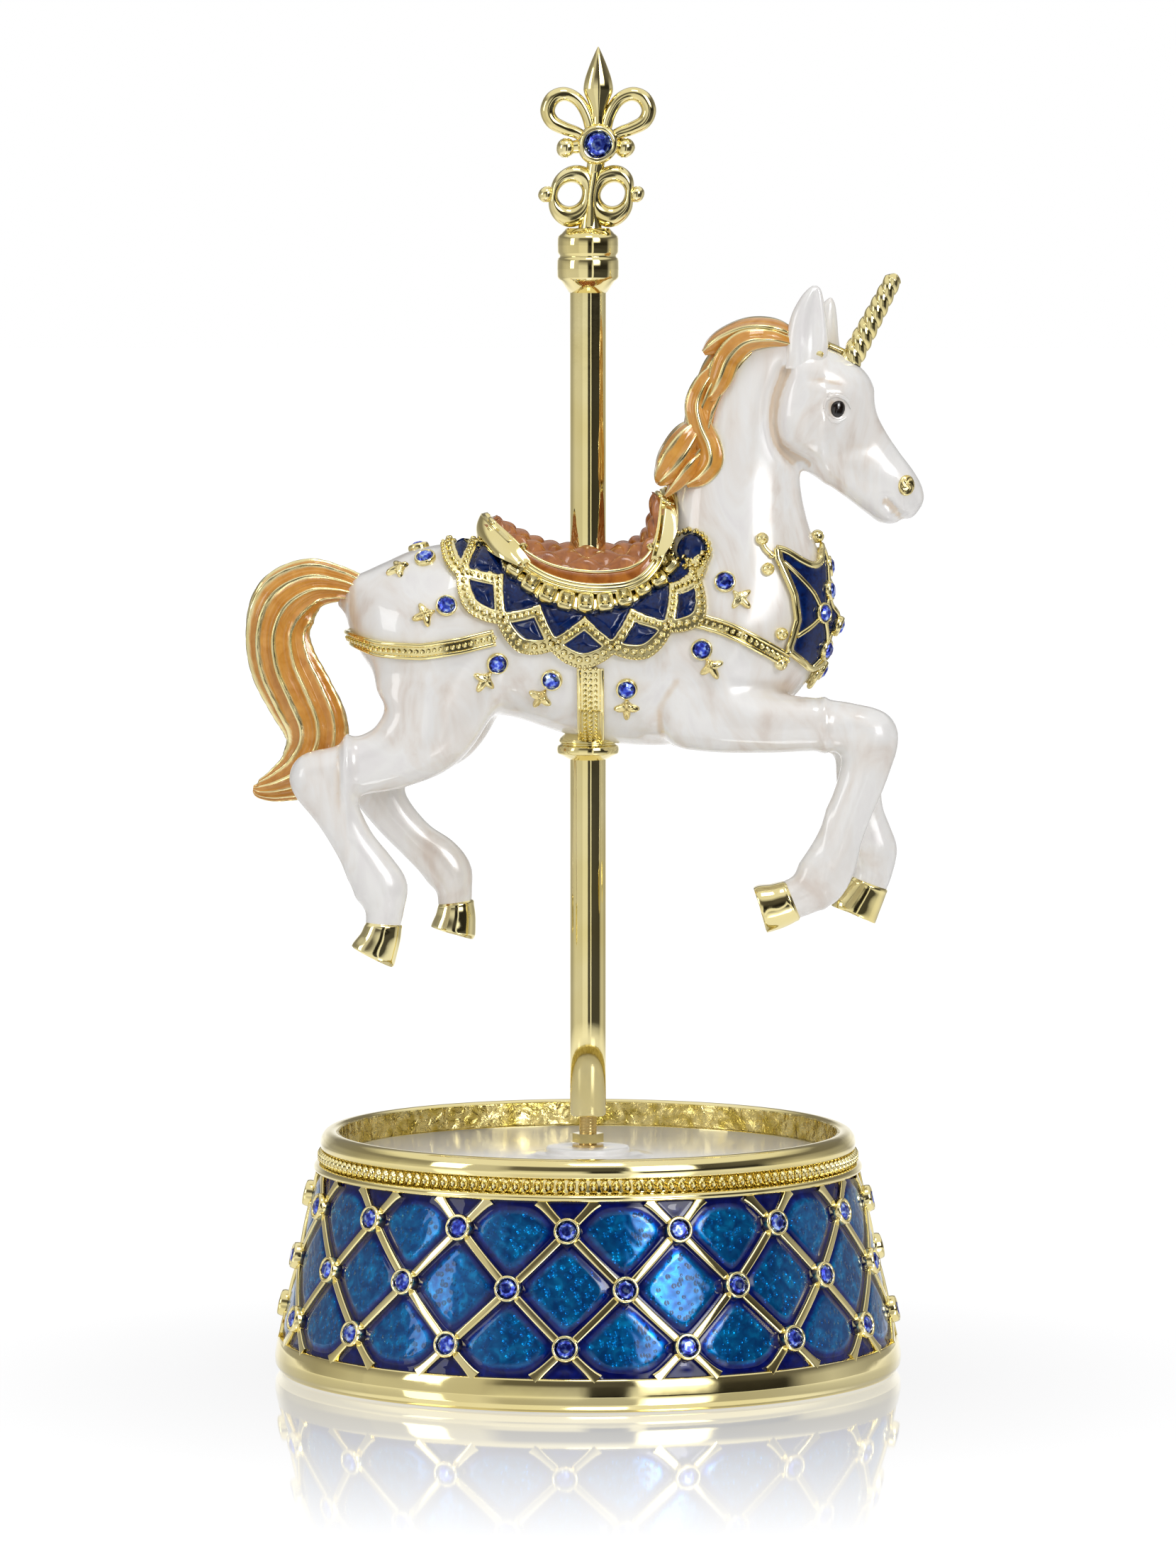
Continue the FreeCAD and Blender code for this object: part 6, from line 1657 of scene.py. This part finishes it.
def bearing_of(tree, vector):
    """Compass bearing of a direction as a share of a whole turn, and its parts."""
    split = tree.nodes.new("ShaderNodeSeparateXYZ")
    tree.links.new(vector, split.inputs[0])
    bearing = worked_out(tree, "ARCTAN2", split.outputs["Y"], split.outputs["X"])
    return faded(tree, bearing, -math.pi, math.pi, 0.0, 1.0), split


def floor_finish():
    """White floor: it glows for the camera, mirrors the drum near its foot, and far out it shows the low
    bands to reflections."""
    material = bpy.data.materials.new("floor white")
    tree = emptied(material)
    out = tree.nodes.new("ShaderNodeOutputMaterial")
    matt = add_node(tree, "ShaderNodeBsdfDiffuse", Color=(0.9, 0.9, 0.9, 1))
    glow = add_node(tree, "ShaderNodeEmission", Strength=1.16)
    mirror = add_node(tree, "ShaderNodeBsdfGlossy", Color=(0.96, 0.96, 0.97, 1), Roughness=0.04)
    path = tree.nodes.new("ShaderNodeLightPath").outputs
    seen = worked_out(tree, "MAXIMUM", path["Is Camera Ray"], path["Is Glossy Ray"])
    lit = worked_out(tree, "MULTIPLY", seen, 0.94)
    spot = tree.nodes.new("ShaderNodeVectorMath")
    spot.operation = "LENGTH"
    tree.links.new(place_of(tree), spot.inputs[0])
    far_out = spot.outputs["Value"]
    around, _ = bearing_of(tree, place_of(tree))
    away = worked_out(tree, "MULTIPLY", faded(tree, far_out, 0.16, 0.34, 0.0, 1.0), path["Is Glossy Ray"])
    bands = blended(tree, away, (1, 1, 1, 1), ramp(tree, around, LOW_BANDS))
    tree.links.new(bands, glow.inputs["Color"])
    ground = mixed(tree, lit, matt.outputs[0], glow.outputs[0])
    shine = faded(tree, far_out, 0.050, 0.20, 0.62, 0.0)
    tree.links.new(mixed(tree, shine, ground, mirror.outputs[0]), out.inputs["Surface"])
    return material


def build_floor(scene):
    """Square floor just under the foot ring."""
    mesh = bpy.data.meshes.new("floor")
    corners = [(x * FLOOR_HALF, y * FLOOR_HALF, 0) for x, y in ((-1, -1), (1, -1), (1, 1), (-1, 1))]
    mesh.from_pydata(corners, [], [(0, 1, 2, 3)])
    floor = bpy.data.objects.new("floor", mesh)
    floor.location.z = -FLOOR_DROP
    scene.collection.objects.link(floor)
    mesh.materials.append(floor_finish())


def build_room(scene):
    """White room: plain light, white for the camera, and bands by bearing and height for reflections."""
    scene.world = bpy.data.worlds.new("studio")
    tree = emptied(scene.world)
    out = tree.nodes.new("ShaderNodeOutputWorld")
    room = add_node(tree, "ShaderNodeBackground", Color=(1, 1, 1, 1), Strength=0.47)
    white = add_node(tree, "ShaderNodeBackground", Color=(1, 1, 1, 1), Strength=1.0)
    flags = add_node(tree, "ShaderNodeBackground", Strength=1.0)
    around, split = bearing_of(tree, tree.nodes.new("ShaderNodeTexCoord").outputs["Generated"])
    climb = split.outputs["Z"]
    upper = faded(tree, climb, 0.10, 0.30, 0.0, 1.0)
    bands = blended(tree, upper, ramp(tree, around, LOW_BANDS), ramp(tree, around, HIGH_BANDS))
    ceiling = faded(tree, climb, 0.50, 0.68, 0.0, 1.0)
    tree.links.new(blended(tree, ceiling, bands, (0.95, 0.95, 0.94, 1)), flags.inputs["Color"])
    path = tree.nodes.new("ShaderNodeLightPath").outputs
    light = mixed(tree, path["Is Glossy Ray"], room.outputs[0], flags.outputs[0])
    tree.links.new(mixed(tree, path["Is Camera Ray"], light, white.outputs[0]), out.inputs["Surface"])


def soft_box(scene, name, where, wide, high, power):
    """Rectangular lamp that faces the middle of the object."""
    lamp = bpy.data.lights.new(name, "AREA")
    lamp.shape = "RECTANGLE"
    lamp.size, lamp.size_y, lamp.energy = wide, high, power
    thing = bpy.data.objects.new(name, lamp)
    thing.location = where
    gaze = np.subtract(LAMP_AIM, where)
    level = math.hypot(gaze[0], gaze[1])
    thing.rotation_euler = (math.atan2(level, -gaze[2]), 0, math.atan2(-gaze[0], gaze[1]))
    scene.collection.objects.link(thing)


def build_camera(scene):
    """Long lens a little above the object, looking down by the pitch."""
    lens = bpy.data.cameras.new("camera")
    lens.sensor_fit = "VERTICAL"
    lens.sensor_height = SENSOR
    lens.lens = SENSOR * CAMERA_DISTANCE / FRAME_TALL
    lens.clip_start, lens.clip_end = 0.05, 30.0
    view = bpy.data.objects.new("camera", lens)
    back, rise = CAMERA_DISTANCE * math.cos(CAMERA_PITCH), CAMERA_DISTANCE * math.sin(CAMERA_PITCH)
    view.location = (0.0, -back, CAMERA_TARGET + rise)
    view.rotation_euler = (math.pi / 2 - CAMERA_PITCH, 0, 0)
    scene.collection.objects.link(view)
    scene.camera = view


def build_stage(scene):
    """Floor, room, three soft boxes and the camera."""
    build_floor(scene)
    build_room(scene)
    soft_box(scene, "key box", (0.62, -1.0, 0.62), 0.30, 0.40, 3.5)
    soft_box(scene, "fill box", (-1.05, -0.55, 0.45), 0.34, 0.55, 1.6)
    soft_box(scene, "top box", (0.05, -0.45, 1.10), 0.30, 0.30, 1.6)
    build_camera(scene)
    scene.view_settings.view_transform = "Standard"


build_stage(bpy.context.scene)
